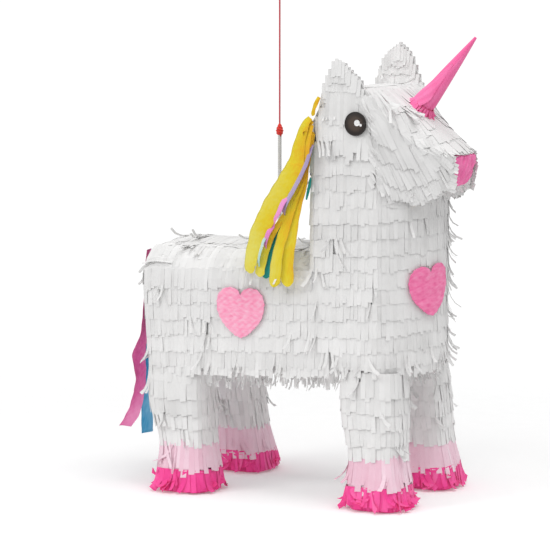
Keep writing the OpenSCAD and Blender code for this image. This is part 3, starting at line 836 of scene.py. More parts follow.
def back_at(side):
    """The arched back: u forward, v down from the ridge towards one side, then down the flat side."""
    limit = ARCH_R * math.asin(HALF_W / ARCH_R)

    def section(v):
        angle = np.minimum(v, limit) / ARCH_R
        y = ARCH_R * np.sin(angle)
        return y, ARCH_Z + ARCH_R * np.cos(angle) - np.maximum(v - limit, 0) + bulge(y)

    def at(u, v):
        angle = np.minimum(v, limit) / ARCH_R
        turn = smooth((v - limit + 14 * MM) / (28 * MM))
        near = [section(v + shift) for shift in (-7 * MM, 0, 7 * MM)]
        y = sum(p[0] for p in near) / 3 + 0.8 * MM
        z = sum(p[1] for p in near) / 3
        tilt = mix(angle, math.pi / 2, turn)
        return xyz(u, side * y, z), xyz(0, side * np.sin(tilt), np.cos(tilt))
    return at, limit


FLAP_LOW, FLAP_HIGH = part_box("fill_flap")


def back_keep(p, n):
    """Keeps the strips that start ahead of the rump's rounded edge."""
    rise = np.maximum(p[:, 2] - arch_height(p[:, 1], 0) + RUMP_R, 0)
    return p[:, 0] > RUMP_X + RUMP_R - np.sqrt(np.maximum(RUMP_R**2 - rise**2, 0)) - 1 * MM


def back_key(p, n):
    """Which strips on the back lift with the flap."""
    on_flap = (p[:, 0] > FLAP_LOW.x) & (p[:, 0] < FLAP_HIGH.x)
    on_flap &= (p[:, 1] > FLAP_LOW.y) & (p[:, 1] < FLAP_HIGH.y - 16 * MM)
    return np.where(on_flap, "flap", "back")


def back_rows():
    for side, wall, ridge_start, ridge_length in ((-1, "side_right", -5, 50), (1, "side_left", 4, 27)):
        at, limit = back_at(side)
        u = spaced(NECK_X - RUMP_X - 4 * MM, STRIP_W, RUMP_X + 1 * MM)
        over_crease = limit + CREASE_Z - (belly(u) + TIPS[BODY_ROWS]) - 62 * MM
        row(at, u, over_crease, length=62 * MM, key=wall, curl_share=0.02, calm=0.6, rise=0.022,
            lift=2.2 * MM)
        for v, length, share in ((limit - 52 * MM, 42, 0.03), (limit - 72 * MM, 42, 0.03),
                                 (ridge_start * MM, ridge_length, 0.13)):
            row(at, u, v, length=length * MM, keep=back_keep, key=back_key, curl_share=share, calm=0.6,
                lift=1.7 * MM, rise=0.014, ragged=0.06)


def rump_at(u, v):
    """The rump and its rounded top edge: u across, v down from the back's ridge, rearward."""
    quarter = RUMP_R * math.pi / 2
    angle = np.clip(v, -20 * MM, quarter) / RUMP_R
    ahead = np.minimum(v, 0)
    angle = np.maximum(angle, 0)
    below = np.maximum(v - quarter, 0)
    top = arch_height(np.clip(u, -HALF_W, HALF_W), 0) + bulge(u)
    z = top - RUMP_R + RUMP_R * np.cos(angle) - below
    x = rump_x_at(z) + RUMP_R - RUMP_R * np.sin(angle) - ahead
    return xyz(x, u, z), xyz(-np.sin(angle), 0, np.cos(angle))


def rump_rows():
    u = spaced(2 * HALF_W + 6 * MM, STRIP_W, -HALF_W - 3 * MM)
    top = arch_height(np.clip(u, -HALF_W, HALF_W), 0)
    straight = RUMP_R * math.pi / 2 + top - RUMP_R
    for tip_z in (246 * MM, 268 * MM):
        row(rump_at, u, straight - tip_z - 34 * MM, length=34 * MM, key="rump", curl_share=0.16)
    row(rump_at, u, -8 * MM, length=34 * MM, key="rump", curl_share=0.26, calm=1.4)


torso_rows()
belly_rows()
neck_rows()
ear_rows()
back_rows()
rump_rows()

# ---------------------------------------------------------------- fringe on the head


def muzzle_edge_z(s):
    return NOSE_TOP_Z + (BROW_Z - NOSE_TOP_Z) * (1 - s) ** 2


def muzzle_ridge_z(s):
    return mix(BROW_Z, NOSE_TOP_Z + 3 * MM, s)


def muzzle_jaw_z(s):
    return mix(THROAT_Z, NOSE_LOW_Z, s) - 14 * MM * np.sin(np.pi * np.clip(s, 0, 1) ** 1.4)


def surface_normal(point, u, v, flip=1):
    eps = 1e-4
    du = point(u + eps, v) - point(u - eps, v)
    dv = point(u, v + eps) - point(u, v - eps)
    return unit(np.cross(du, dv)) * flip


def forehead_width(v):
    return mix(HALF_W, NOSE_HALF_W, np.clip(v / MUZZLE_L, 0, 1))


def forehead_point(u, v):
    """u runs across in metres, v down from the brow towards the nose; negative v is the crown."""
    s = np.clip(v / MUZZLE_L, 0, 1.15)
    wide = forehead_width(v)
    t = np.clip(u / wide, -1, 1)
    over = np.maximum(np.abs(u) - wide, 0)
    x = mix(BROW_X, NOSE_X, s) + np.minimum(v, 0)
    ridge, edge = muzzle_ridge_z(s), muzzle_edge_z(np.minimum(s, 1))
    z = mix(ridge, edge, t**4) - np.maximum(s - 1, 0) * 40 * MM - over
    return xyz(x, t * wide, z)


def forehead_at(u, v):
    return forehead_point(u, v), surface_normal(forehead_point, u, v, -1)


def crown_at(u, v):
    """The rear slope of the crown: u across in metres, v down from the head's top towards the neck."""
    slope = math.atan2(CROWN_Z - CREST_Z, CROWN_X - NECK_X)
    length = math.hypot(CROWN_Z - CREST_Z, CROWN_X - NECK_X)
    on_slope = np.minimum(v, length)
    below = np.maximum(v - length, 0)
    over_crest = smooth((v - length + 9 * MM) / (14 * MM)) * smooth((HALF_W + 1 * MM - np.abs(u)) / (11 * MM))
    x = CROWN_X - on_slope * math.cos(slope) - 7 * MM * over_crest
    z = CROWN_Z - on_slope * math.sin(slope) - below
    return xyz(x, u, z), all_facing(u, -math.sin(slope), 0, math.cos(slope))


def cheek_point(side):
    def point(u, v):
        """u is the distance along the muzzle, v the distance down from the forehead's edge."""
        s = np.clip(u / CHEEK_L, -0.2, 1.12)
        top = muzzle_edge_z(np.clip(s, 0, 1))
        jaw = muzzle_jaw_z(s)
        t = np.clip(1 - v / (top - jaw), 0, 1)
        x = mix(mix(SIDE_X, BROW_X, t), mix(NOSE_LOW_X, NOSE_X, t), s)
        return xyz(x, side * mix(HALF_W, NOSE_HALF_W, np.maximum(s, 0)), top - v)
    return point


def cheek_at(side):
    point = cheek_point(side)
    return lambda u, v: (point(u, v), surface_normal(point, u, v, side))


HORN_BASE = Vector((152.5, 0, 462.6)) * MM
HORN_TILT = math.radians(39.3)
HORN_AXIS = Vector((math.sin(HORN_TILT), 0, math.cos(HORN_TILT)))
CHEEK_SLANT = math.radians(38)
SMALL_STRIP_W = 4.2 * MM


def forehead_rows():
    """Eight double rows from the crown to the nose, parted round the horn."""
    horn_v = (HORN_BASE.x - BROW_X) / (NOSE_X - BROW_X) * MUZZLE_L
    for k in range(8):
        v = -50 * MM + 20 * MM * k
        wide = float(forehead_width(v + 18 * MM)) if v > -12 * MM else HALF_W - 9 * MM
        u = spaced(2 * wide, STRIP_W, -wide)
        near_horn = np.abs(u) < 14 * MM
        room = np.where(near_horn & (v < horn_v), horn_v - 10 * MM - v, 44 * MM)
        length = np.minimum(np.minimum(room, 44 * MM), MUZZLE_L + 3 * MM - v)
        fits = (length > 9 * MM) & ((np.abs(u) > 14 * MM) | (abs(v - horn_v) > 9 * MM))
        if not fits.any():
            continue
        loose = np.where(u > wide - 9 * MM, 0.35, 0.04)[fits] if v < 60 * MM else 0.0
        style = {"calm": 0.7, "length": length[fits], "rise": 0.030 if v > -12 * MM else 0.0, "flare": 0.25,
                 "lateral": (14 * u / wide)[fits] if v > -30 * MM else 0}
        row(forehead_at, u[fits] + STRIP_W / 2, v, key="head", curl_share=0, lift=1.4 * MM, **style)
        row(forehead_at, u[fits], v, key="head", curl_share=loose, lift=2.0 * MM, **style)


def crown_rows():
    wide = HALF_W + 1 * MM
    for k in range(3):
        row(crown_at, spaced(2 * wide, STRIP_W, -wide), 3 * MM + 14 * MM * k, key="head", calm=1.2,
            lift=1.0 * MM)


def chin_row(drop, inward):
    """Short loose strips under the nose, on a face across X."""
    def at(u, v):
        return xyz(NOSE_LOW_X + inward * MM, u, NOSE_LOW_Z - drop * MM - v), all_facing(u, 1, 0, 0)
    places = spaced(2 * NOSE_HALF_W - 2 * MM, SMALL_STRIP_W, -NOSE_HALF_W + 1 * MM)
    row(at, places, 0.0, length=12 * MM, width=SMALL_STRIP_W, key="head", calm=3.0, curl_share=0.4,
        lift=1.0 * MM, rise=-0.1, ragged=0.15)


def cheek_depth(u):
    """Distance from the forehead's edge down to the jaw."""
    s = np.clip(u / CHEEK_L, 0, 1)
    return muzzle_edge_z(s) - muzzle_jaw_z(s)


def cheek_rows(side):
    """Slanting rows that run down and forward over the cheek."""
    for k in range(7):
        c = -14 * MM + 17 * MM * k
        q = spaced(190 * MM, STRIP_W, -80 * MM)
        u = c * math.sin(CHEEK_SLANT) + q * math.cos(CHEEK_SLANT)
        v = c * math.cos(CHEEK_SLANT) - q * math.sin(CHEEK_SLANT)
        ok = (u > -20 * MM) & (u < CHEEK_L - 20 * MM) & (v > -4 * MM) & (v < cheek_depth(u) - 12 * MM)
        if not ok.any():
            continue
        u, v = u[ok], np.maximum(v[ok], 0.5 * MM)
        room = np.minimum(cheek_depth(u), cheek_depth(u + 18 * MM)) + 3 * MM - v
        ahead = (CHEEK_L - 2 * MM - u) / math.sin(CHEEK_SLANT)
        length = np.minimum(37 * MM, np.minimum(ahead, room / math.cos(CHEEK_SLANT)))
        long = length > 9 * MM
        if long.any():
            row(cheek_at(side), u[long], v[long], key="head", calm=0.9, curl_share=0.06, length=length[long],
                rise=0.06, lift=2.4 * MM, lateral=math.degrees(CHEEK_SLANT), flare=0.1)


def jaw_row(side):
    u = spaced(CHEEK_L + 4 * MM, STRIP_W)
    length = mix(21, 16, np.clip(u / CHEEK_L, 0, 1)) * MM
    row(cheek_at(side), u, cheek_depth(u) - 17 * MM, key="head", calm=2.0, curl_share=0.2, length=length,
        rise=0.05, lift=2.2 * MM, lateral=14)


def nose_rim_row(side):
    """Loose strips at the muzzle's front edge, beside the nose."""
    def at(u, v):
        x = mix(NOSE_X, NOSE_LOW_X, u / (38 * MM)) - 9 * MM + v
        y = side * (NOSE_HALF_W + 2 * MM + 0.35 * (9 * MM - v))
        return xyz(x, y, NOSE_TOP_Z - u), all_facing(u, 0.35, side * 0.94, 0)
    row(at, spaced(34 * MM, SMALL_STRIP_W, 3 * MM), 0.0, length=19 * MM, width=SMALL_STRIP_W, key="head",
        calm=3.0, curl_share=0.35, lift=2.0 * MM, rise=-0.05, lateral=22)


forehead_rows()
crown_rows()
for drop, inward in ((-3, 1.5), (1, -5)):
    chin_row(drop, inward)
for side in (-1, 1):
    cheek_rows(side)
    jaw_row(side)
    nose_rim_row(side)

# ---------------------------------------------------------------- legs

LEG_LEAN, LEG_SPLAY = math.radians(4), math.radians(6)
LEG_HALF_X, LEG_HALF_Y, LEG_ROUND = 26 * MM, 25 * MM, 12 * MM
LEGS = [(end, side) for end in ("front", "rear") for side in ("right", "left")]


def leg_loop(grow=0.0):
    """Section of a leg's tube, or of a layer on it."""
    hx, hy, r = LEG_HALF_X + grow, LEG_HALF_Y + grow, LEG_ROUND + grow
    return Loop(arc(hx - r, -hy + r, r, -90, 0, 5) + arc(hx - r, hy - r, r, 0, 90, 5)
                + arc(-hx + r, hy - r, r, 90, 180, 5) + arc(-hx + r, -hy + r, r, 180, 270, 5))


LEG_LOOP = leg_loop()


def leg_axis(end, side):
    """Where the leg's middle is at the floor, and how it moves for each metre upward."""
    low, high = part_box(f"sole_{end}_{side}")
    sign = -1 if side == "right" else 1
    return (low + high) / 2, -math.tan(LEG_LEAN), -sign * math.tan(LEG_SPLAY)


def leg_at(end, side, top):
    """The leg's surface under its fringe, which is fuller higher up: u round it, v down from the top."""
    foot, dx, dy = leg_axis(end, side)
    wider, back = (0.36, 8 * MM) if end == "rear" else (0.28, 4 * MM)

    def at(u, v):
        x, y, nx, ny = LEG_LOOP.at(u)
        z = top - v
        fuller = smooth((z - 45 * MM) / (75 * MM))
        x, y = x * (1 + wider * fuller) - back * fuller, y * (1 + 0.03 * fuller)
        return xyz(foot.x + x + dx * z, foot.y + y + dy * z, z), unit(xyz(nx, ny, -nx * dx - ny * dy))
    return at


HOOF_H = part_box("hoof_front_right")[1].z
ANKLE_TOP = 56 * MM
LEG_PITCH, LEG_STRIP_STEP, LEG_STRIP_W = 18.5 * MM, 4.4 * MM, 4.5 * MM


def leg_rows(end, side):
    top = belly(leg_axis(end, side)[0].x)
    u = spaced(LEG_LOOP.length, LEG_STRIP_STEP)
    for lift, shift in ((1.6 * MM, 0.5), (3.0 * MM, 0.0)):
        row(leg_at(end, side, ANKLE_TOP + 8 * MM), u + shift * LEG_STRIP_STEP, 0.0, key="ankle", lift=lift,
            length=39 * MM, width=4.9 * MM, ragged=0.08, calm=0.9, curl_share=0.03, rise=0.17)
    for k, tip in enumerate(np.arange(ANKLE_TOP, top - 14 * MM, LEG_PITCH)):
        start = min(tip + 38 * MM, top + 3 * MM)
        surface = leg_at(end, side, start)
        style = {"width": LEG_STRIP_W, "key": f"leg_{end}_{side}"}
        if k == 0:
            row(surface, u + LEG_STRIP_STEP / 2, 0.0, length=start - tip + 3 * MM, calm=0.5, curl_share=0.0,
                rise=0.055, lift=1.5 * MM, **style)
        row(surface, u, 0.0, length=start - tip, calm=1.2, curl_share=0.07, rise=0.06, lift=2.2 * MM,
            ragged=0.04, **style)


def hoof_tufts(end, side):
    """Two loose layers of strips over the hoof's band."""
    style = {"key": f"tufts_{end}_{side}", "slim": 1.0}
    row(leg_at(end, side, HOOF_H + 1 * MM), spaced(LEG_LOOP.length, 4.6 * MM), 0.0, length=25 * MM,
        width=5.4 * MM, calm=3.0, curl_share=0.16, rise=0.03, lift=9.0 * MM, ragged=0.12, max_curl=60,
        **style)
    row(leg_at(end, side, HOOF_H - 2 * MM), spaced(LEG_LOOP.length, 6.5 * MM), 0.0, length=24 * MM,
        width=3.8 * MM, calm=5.0, curl_share=0.8, rise=0.05, lift=9.6 * MM, spread=2.8, ragged=0.2, **style)


HOOF_COLUMNS = 220


def hoof_band(end, side):
    """Gathered crepe round the foot: outer wall, turned in under the sole."""
    loop = leg_loop(6.0 * MM)
    inner = leg_loop(0.4 * MM)
    u = np.linspace(0, 1, HOOF_COLUMNS + 1)[:-1]
    profile = [(inner, 1.0, 34.5), (loop, 0.88, 34.0), (loop, 0.97, 29.5), (loop, 1.0, 21), (loop, 1.01, 14),
               (loop, 1.01, 8), (loop, 1.00, 3.5), (loop, 0.95, 0.6), (inner, 1.0, 0.2)]
    phase = rng.uniform(0, 6.28, 9)
    waves = np.array([9, 14, 19, 27, 33, 41, 52, 63, 71])
    crinkle = np.sin(2 * np.pi * u[:, None] * waves + phase).sum(1) / 4.5
    rings = []
    foot, dx, dy = leg_axis(end, side)
    for index, (outline, scale, height) in enumerate(profile):
        x, y, nx, ny = outline.at(u * outline.length)
        z = np.full_like(x, height * MM)
        if outline is loop:
            grow = crinkle * (0.9 * MM) * np.sin(index * 1.3 + 6 * u * np.pi) + crinkle * 0.7 * MM
            x, y = x * scale + nx * grow, y * scale + ny * grow
            z = z + np.where(index <= 2, crinkle * 1.2 * MM, 0)
        z = np.maximum(z, 0.1 * MM)
        rings.append(xyz(foot.x + x + dx * z, foot.y + y + dy * z, z))
    m = len(profile)
    index = np.arange(m * HOOF_COLUMNS).reshape(m, HOOF_COLUMNS)
    beside = np.roll(index, -1, axis=1)
    walls = np.stack([index[:-1], index[1:], beside[1:], beside[:-1]], -1).reshape(-1, 4)
    closing = np.stack([index[-1], index[0], beside[0], beside[-1]], -1)
    # The tint follows the crinkle that shapes the wall: painted light on the ridges of the gathers, painted
    # shade in their hollows.
    piece(f"crepe_hoof_{end}_{side}", np.concatenate(rings), np.vstack([walls, closing]), HOT_PINK,
          [f"hoof_{end}_{side}"], tint=0.5 + 0.35 * crinkle)


for end, side in LEGS:
    leg_rows(end, side)
    hoof_tufts(end, side)
    hoof_band(end, side)
    fringe.build(f"leg_{end}_{side}", f"crepe_leg_{end}_{side}", WHITE, nodes=[f"leg_fringe_{end}_{side}"])
    fringe.build(f"tufts_{end}_{side}", f"hoof_tufts_{end}_{side}", HOT_PINK)

for key, node in (("side_right", "side_fringe_right"), ("side_left", "side_fringe_left"),
                  ("chest", "chest_fringe"), ("rump", "rump_fringe"), ("crest", "crest_fringe"),
                  ("back", "back_fringe"), ("flap", "flap_fringe"), ("ears", "ear_fringe"),
                  ("head", "head_fringe")):
    fringe.build(key, f"crepe_{key}", WHITE, nodes=[node], body="flap" if key == "flap" else "shell")
fringe.build("ankle", "crepe_ankles", PALE_PINK, ["ankle_ruffles"])

# ---------------------------------------------------------------- mane and tail ribbons

RIBBON_HALF_T = 0.15 * MM
RIBBON_COLUMNS = 11


def ribbon(name, material, slot, stations, nodes=(), body="mane", facing=(0, -1, 0), turns=None, cup=0.0,
           ripple=0.5, round_end=0.35, rests_on=(), shade=(0.5, 0.5), with_pieces=()):
    """A streamer through stations (x, y, z, width) in mm. facing is the way its face looks, turns the angles
    in degrees that it is turned by at each station, cup how far it bows across, as a share of its width. shade
    gives its tint from start to end; the darker tint toward the upper end is painted shade where the ribbons
    bunch in folds.
    rests_on is not used."""
    path = spline_through(np.array(stations, float) * MM, per=10)
    m = len(path)
    line = unit(unit(np.gradient(path, axis=0))[:, :3])
    width, centre = path[:, 3], path[:, :3]
    across = unit(np.cross(line, np.array(facing, float)))
    normal = np.cross(across, line)
    along = np.linspace(0, 1, m)
    if turns is not None:
        angle = np.radians(np.interp(along, np.linspace(0, 1, len(turns)), turns))[:, None]
        across, normal = (across * np.cos(angle) + normal * np.sin(angle),
                          normal * np.cos(angle) - across * np.sin(angle))
    u = np.linspace(-1, 1, RIBBON_COLUMNS)[None]
    travel = np.concatenate([[0], np.cumsum(np.linalg.norm(np.diff(centre, axis=0), axis=1))])
    gone = travel / MM
    phase = rng.uniform(0, 6.28, 6)
    wave = (np.sin(gone / 21 + phase[0]) * 0.9 + np.sin(gone / 9 + phase[1]) * 0.3) * ripple * MM
    crimp = np.sin(gone * 2.4 + phase[2]) * 0.10 * MM
    lift = (wave + crimp)[:, None] + np.sin(u * 3.4 + phase[3] + along[:, None] * 5) * 0.35 * ripple * MM
    lift = lift + cup * width[:, None] * (1 - u**2)
    edge = 1 + 0.03 * np.sin(gone / 3.1 + phase[4])
    reach = centre[:, None] + across[:, None] * (u * (width * edge)[:, None] / 2)[..., None]
    rounding = round_end * width[-1] * u**2 * np.clip((along[:, None] - 0.85) / 0.15, 0, 1)
    face = reach - line[:, None] * rounding[..., None] + normal[:, None] * lift[..., None]
    thick = normal[:, None] * RIBBON_HALF_T
    points, quads = plate_arrays(face + thick, face - thick)
    # The darker tint that shade gives toward the upper end is painted shade in the bunched folds.
    tint = mix(*shade, along)[:, None] + 0.12 * np.sin(gone / 14 + phase[5])[:, None]
    tint = tint + 0.24 * u + 0.14 * mottle(travel[:, None] * 0.5, u * width[:, None], 5 * MM)
    obj = piece(name, points, quads, material, nodes, body, tint)


def yellow(letter, stations, **style):
    """One ribbon of the mane's yellow bundle, or a fixed or looped scrap of it."""
    ribbon(f"mane_ribbon_yellow_{letter}", YELLOW, "mane_yellow", stations, **style)


def mane():
    on = ["crepe_side_right"]
    yellow("top", [(66, -92, 480, 4), (63, -93, 474, 5), (60, -92.6, 467, 5), (58, -91.8, 461, 5),
                   (57, -91.4, 458, 4)], body="shell", cup=0.12, turns=[0, 25, -20, 0, 0], shade=(0.1, 0.3))
    yellow("loop", [(58, -93, 452, 5), (51, -96, 446, 8), (46, -98, 440, 9), (47, -96, 432, 7),
                    (52, -94, 428, 6)], cup=-0.25, turns=[30, -40, 20], shade=(0.1, 0.3))
    yellow("a", [(56, -95, 456, 6), (50, -97, 447, 10), (43, -98, 424, 15), (40, -99, 405, 20),
                 (37, -100, 397, 22), (26, -101, 377, 24), (15, -102, 359, 25), (8, -103, 348, 24),
                 (2, -104, 336, 23), (-7, -105, 320, 21), (-12, -106, 303, 19), (-15, -107, 292, 17),
                 (-16, -108, 279, 15), (-14, -108, 272, 12)],
           nodes=["mane_yellow"], cup=0.05, rests_on=on, shade=(0.2, 1.0),
           with_pieces=["mane_ribbon_yellow_loop"])
    yellow("b", [(56, -95, 448, 9), (51, -97, 428, 13), (50, -98, 405, 11), (48, -99, 390, 9),
                 (43, -99, 377, 7), (34, -100, 360, 7), (30, -101, 349, 7), (22, -102, 336, 7),
                 (12, -103, 321, 8), (4, -104, 303, 9), (0, -104, 292, 10), (-4, -105, 279, 12),
                 (-5, -106, 268, 12)], cup=-0.06, rests_on=on, shade=(0.0, 0.85))
    yellow("c", [(57, -94, 440, 8), (51, -96, 412, 10), (50, -97, 398, 8), (45, -98, 377, 8),
                 (38, -99, 360, 9), (30, -101, 337, 11), (25, -102, 321, 13), (20, -103, 304, 13),
                 (17, -105, 286, 15), (15, -106, 265, 15), (14, -107, 257, 12)],
           cup=0.08, turns=[0, 8, 4, -4, 0], rests_on=on, shade=(0.1, 0.7))
    yellow("d", [(58, -93, 438, 8), (53, -95, 412, 9), (51, -96, 398, 8), (48, -97, 377, 9),
                 (43, -98, 360, 10), (37, -99, 337, 13), (35, -100, 321, 14), (32, -101, 304, 15),
                 (30, -102, 285, 16), (30, -103, 265, 17), (30, -104, 258, 15)],
           cup=-0.06, turns=[-6, 6, 0, 0], rests_on=on, shade=(0.2, 0.55))
    ribbon("mane_ribbon_lilac", LILAC, "mane_lilac",
           [(58, -95, 425, 7.5), (54, -101, 405, 7.5), (42, -104, 378, 7.5), (32, -105, 360, 7.5),
            (27, -104, 350, 7.5), (24, -100, 342, 7.5)],
           ["mane_lilac"], rests_on=on, turns=[-24, -32, -30, -34, -28])
    ribbon("mane_ribbon_pink", MANE_PINK, "mane_pink",
           [(31, -100, 366, 8), (26, -106, 356, 8), (22, -108, 346, 8), (17, -108, 337, 8),
            (12, -103, 329, 8), (8, -108, 321, 8), (4, -108, 311, 8), (0, -103, 302, 8)],
           ["mane_pink"], rests_on=on, turns=[-30, -24, -36, -40, -26, -32, -30])
    ribbon("mane_ribbon_pale", PALE_TEAL, "mane_teal",
           [(6, -102, 322, 7), (2, -107, 313, 8), (-1, -109, 304, 7), (-5, -109, 290, 7), (-7, -105, 280, 7)],
           rests_on=on, turns=[-40, -44, -40])
    ribbon("mane_ribbon_teal", TEAL, "mane_teal",
           [(54, -90, 424, 9), (42, -95, 384, 9), (30, -97, 354, 9), (23, -98, 336, 9), (15, -99, 320, 10),
            (8, -100, 303, 12), (5, -100, 290, 14), (2, -101, 278, 15), (1, -101, 266, 12)],
           ["mane_teal"], rests_on=on)
    ribbon("mane_ribbon_blue", TEAL, "mane_teal",
           [(55, -92, 386, 2.5), (54, -93, 377, 3.5), (52, -93, 368, 3.5), (50, -93, 360, 2)],
           shade=(0.6, 1.0))


def tail():
    style = {"facing": (-1, 0, 0), "round_end": 0.0, "ripple": 1.0, "rests_on": ["crepe_rump"]}
    ribbon("tail_ribbon_pink", TAIL_PINK, "tail_pink",
           [(-181, -58, 288, 20), (-184, -59, 262, 20), (-185, -60, 232, 20), (-186, -60, 205, 20),
            (-188, -60, 182, 20), (-196, -59, 157, 21), (-195, -59, 128, 20), (-200, -59, 98, 20),
            (-207, -59, 80, 20), (-216, -59, 66, 20)],
           ["tail_pink"], "tail_pink_ribbon", cup=0.05, shade=(0.0, 0.9),
           turns=[14, 14, 14, 12, 2, -22, -8, -18, -26, -20], **style)
    ribbon("tail_ribbon_blue", TAIL_BLUE, "tail_blue",
           [(-180, -34, 286, 20), (-185, -35, 230, 20), (-190, -35, 188, 20), (-195, -34, 155, 20),
            (-198, -34, 110, 20), (-200, -33, 56, 20)],
           ["tail_blue"], "tail_blue_ribbon", cup=-0.05, shade=(0.5, 0.8),
           turns=[4, 0, -10, -16, -14, -16], **style)


mane()
tail()

# ---------------------------------------------------------------- hearts

HEART_SIDE = [(0.0, 0.33), (0.045, 0.40), (0.13, 0.455), (0.26, 0.465), (0.39, 0.415), (0.48, 0.30),
              (0.505, 0.15), (0.48, -0.02), (0.40, -0.18), (0.28, -0.31), (0.14, -0.43), (0.0, -0.49)]
HEART_T = 0.5 * MM


def heart_grid(size, rows=44, columns=161):
    """Rows of points (a, b) that fill a full, blunt heart of that width, its middle at the origin."""
    right = spline_through(np.array(HEART_SIDE), 12)[:-1]
    left = right[::-1] * [-1, 1]
    outline = np.vstack([right, left, right[:1]]) * size
    travel = np.concatenate([[0], np.cumsum(np.linalg.norm(np.diff(outline, axis=0), axis=1))])
    picks = np.linspace(0, travel[-1], columns)
    outer = np.stack([np.interp(picks, travel, outline[:, k]) for k in (0, 1)], -1)
    shrink = np.linspace(1, 0.01, rows)[:, None, None]
    middle = np.array([0, 0.04 * size])
    return middle + (outer[None] - middle) * shrink


def heart_piece(name, size, place, material, node):
    """place(a, b, height) puts the heart's flat points on the fringe."""
    grid = heart_grid(size)
    around = np.arctan2(grid[..., 1], grid[..., 0])
    rough = 1 + 0.010 * np.sin(around * 23) + 0.008 * np.sin(around * 41 + 1)
    a, b = grid[..., 0] * rough, grid[..., 1] * rough
    crinkle = mottle(a * 0.6, b, 4 * MM)
    steps = 0.35 * MM * np.sin(b / (PITCH / 2 / np.pi) + 1)
    lift = 1.7 * MM + steps + 0.18 * MM * crinkle
    b = b - 1.5 * MM
    outer, inner = place(a, b, lift), place(a, b, lift - HEART_T)
    m, n = a.shape
    index = np.arange(m * n).reshape(m, n)
    front = np.stack([index[:-1, :-1], index[:-1, 1:], index[1:, 1:], index[1:, :-1]], -1).reshape(-1, 4)
    back = front[:, ::-1] + m * n
    rim = np.stack([index[0, :-1], index[0, :-1] + m * n, index[0, 1:] + m * n, index[0, 1:]], -1)
    # The two mottles are the crepe's uneven tone; the crinkle term, which also lifts the paper, is painted
    # light on the raised bumps.
    tint = 0.5 + 0.28 * mottle(a * 0.4, b, 5 * MM) + 0.18 * mottle(a, b, 11 * MM) + 0.10 * crinkle
    piece(name, np.concatenate([outer.reshape(-1, 3), inner.reshape(-1, 3)]), np.vstack([front, back, rim]),
          material, [node], tint=tint)


def hearts():
    low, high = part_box("heart_right")
    size = high.x - low.x
    for side, name in ((-1, "right"), (1, "left")):
        def place(a, b, lift, side=side):
            y = side * (HALF_W + SKIN + lift)
            return xyz(SIDE_HEART[0] + a, y, SIDE_HEART[2] + b)
        heart_piece(f"paper_heart_{name}", size, place, HEART_PINK, f"heart_{name}")

    def chest(a, b, lift):
        """Tilted a little, a little wider, and bent round the chest."""
        tilt = math.radians(5)
        across = a * 1.12 * math.cos(tilt) - b * math.sin(tilt) - 2 * MM
        up = a * math.sin(tilt) + b * math.cos(tilt)
        r = CHEST_R + SKIN + lift
        turn = math.asin(CHEST_HEART[1] / (CHEST_R + SKIN)) + across / (CHEST_R + SKIN)
        return xyz(CHEST_CX + r * np.cos(turn), r * np.sin(turn), CHEST_HEART[2] + up)
    heart_piece("paper_heart_chest", size, chest, DEEP_PINK, "heart_chest")


hearts()

# ---------------------------------------------------------------- eyes, nose and horn


def disc_arrays(centre, normal, radius, height, rings=10, sides=48, dome=0.0, squash=1.0):
    """A closed round plate, slightly domed, whose outer face looks along normal."""
    normal = np.array(normal, float)
    up = np.array([0, 0, 1.0])
    right = np.cross(up, normal)
    r = np.linspace(0.02, 1, rings)[:, None]
    a = np.linspace(0, 2 * np.pi, sides + 1)[None]
    flat = radius * r[..., None] * (np.cos(a)[..., None] * right * squash + np.sin(a)[..., None] * up)
    top = centre + flat + normal * (height + dome * (1 - r**2) + 0 * a)[..., None]
    low = centre + flat + normal * (0 * r + 0 * a)[..., None]
    return plate_arrays(top, low)


def eye_material():
    """Brown print, darker towards its edge, with a fine speckle."""
    material, nodes, links, shader = node_material("eye_print")
    speckle = noise(nodes, links, 420.0)
    shade = scaled(nodes, links, speckle, 0.22, plus=attribute(nodes, "tint"))
    colour_by(nodes, links, shade, [(0.0, (0.075, 0.052, 0.040)), (0.55, (0.060, 0.040, 0.030)),
                                    (0.80, (0.018, 0.011, 0.009)), (1.0, (0.012, 0.008, 0.007))],
              shader.inputs["Base Color"])
    shader.inputs["Roughness"].default_value = 0.38
    return material


def eyes():
    printed = eye_material()
    spark = crepe("eye_spark", (0.80, 0.80, 0.80), (0.88, 0.88, 0.88), (0.92, 0.92, 0.92), crinkle=0.05)
    low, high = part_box("eye_right")
    radius = (high.x - low.x) / 2
    for side, name in ((-1, "right"), (1, "left")):
        centre = np.array([EYE[0], side * (HALF_W + SKIN + 0.8 * MM), EYE[2]])
        out = (0, side, 0)
        points, quads = disc_arrays(centre, out, radius, 1.0 * MM, dome=0.8 * MM, squash=0.98)
        away = np.linalg.norm((points - centre)[:, [0, 2]], axis=1) / radius
        piece(f"eye_disc_{name}", points, quads, printed, [f"eye_{name}"], tint=away * 0.9)
        for label, x, z, r in (("large", 2.6, 1.2, 3.6), ("small", 7.2, -1.2, 1.6)):
            spot = centre + np.array([x, side * 1.75, z]) * MM
            points, quads = disc_arrays(spot, out, r * MM, 0.25 * MM, rings=4, sides=28)
            piece(f"eye_spark_{label}_{name}", points, quads, spark)


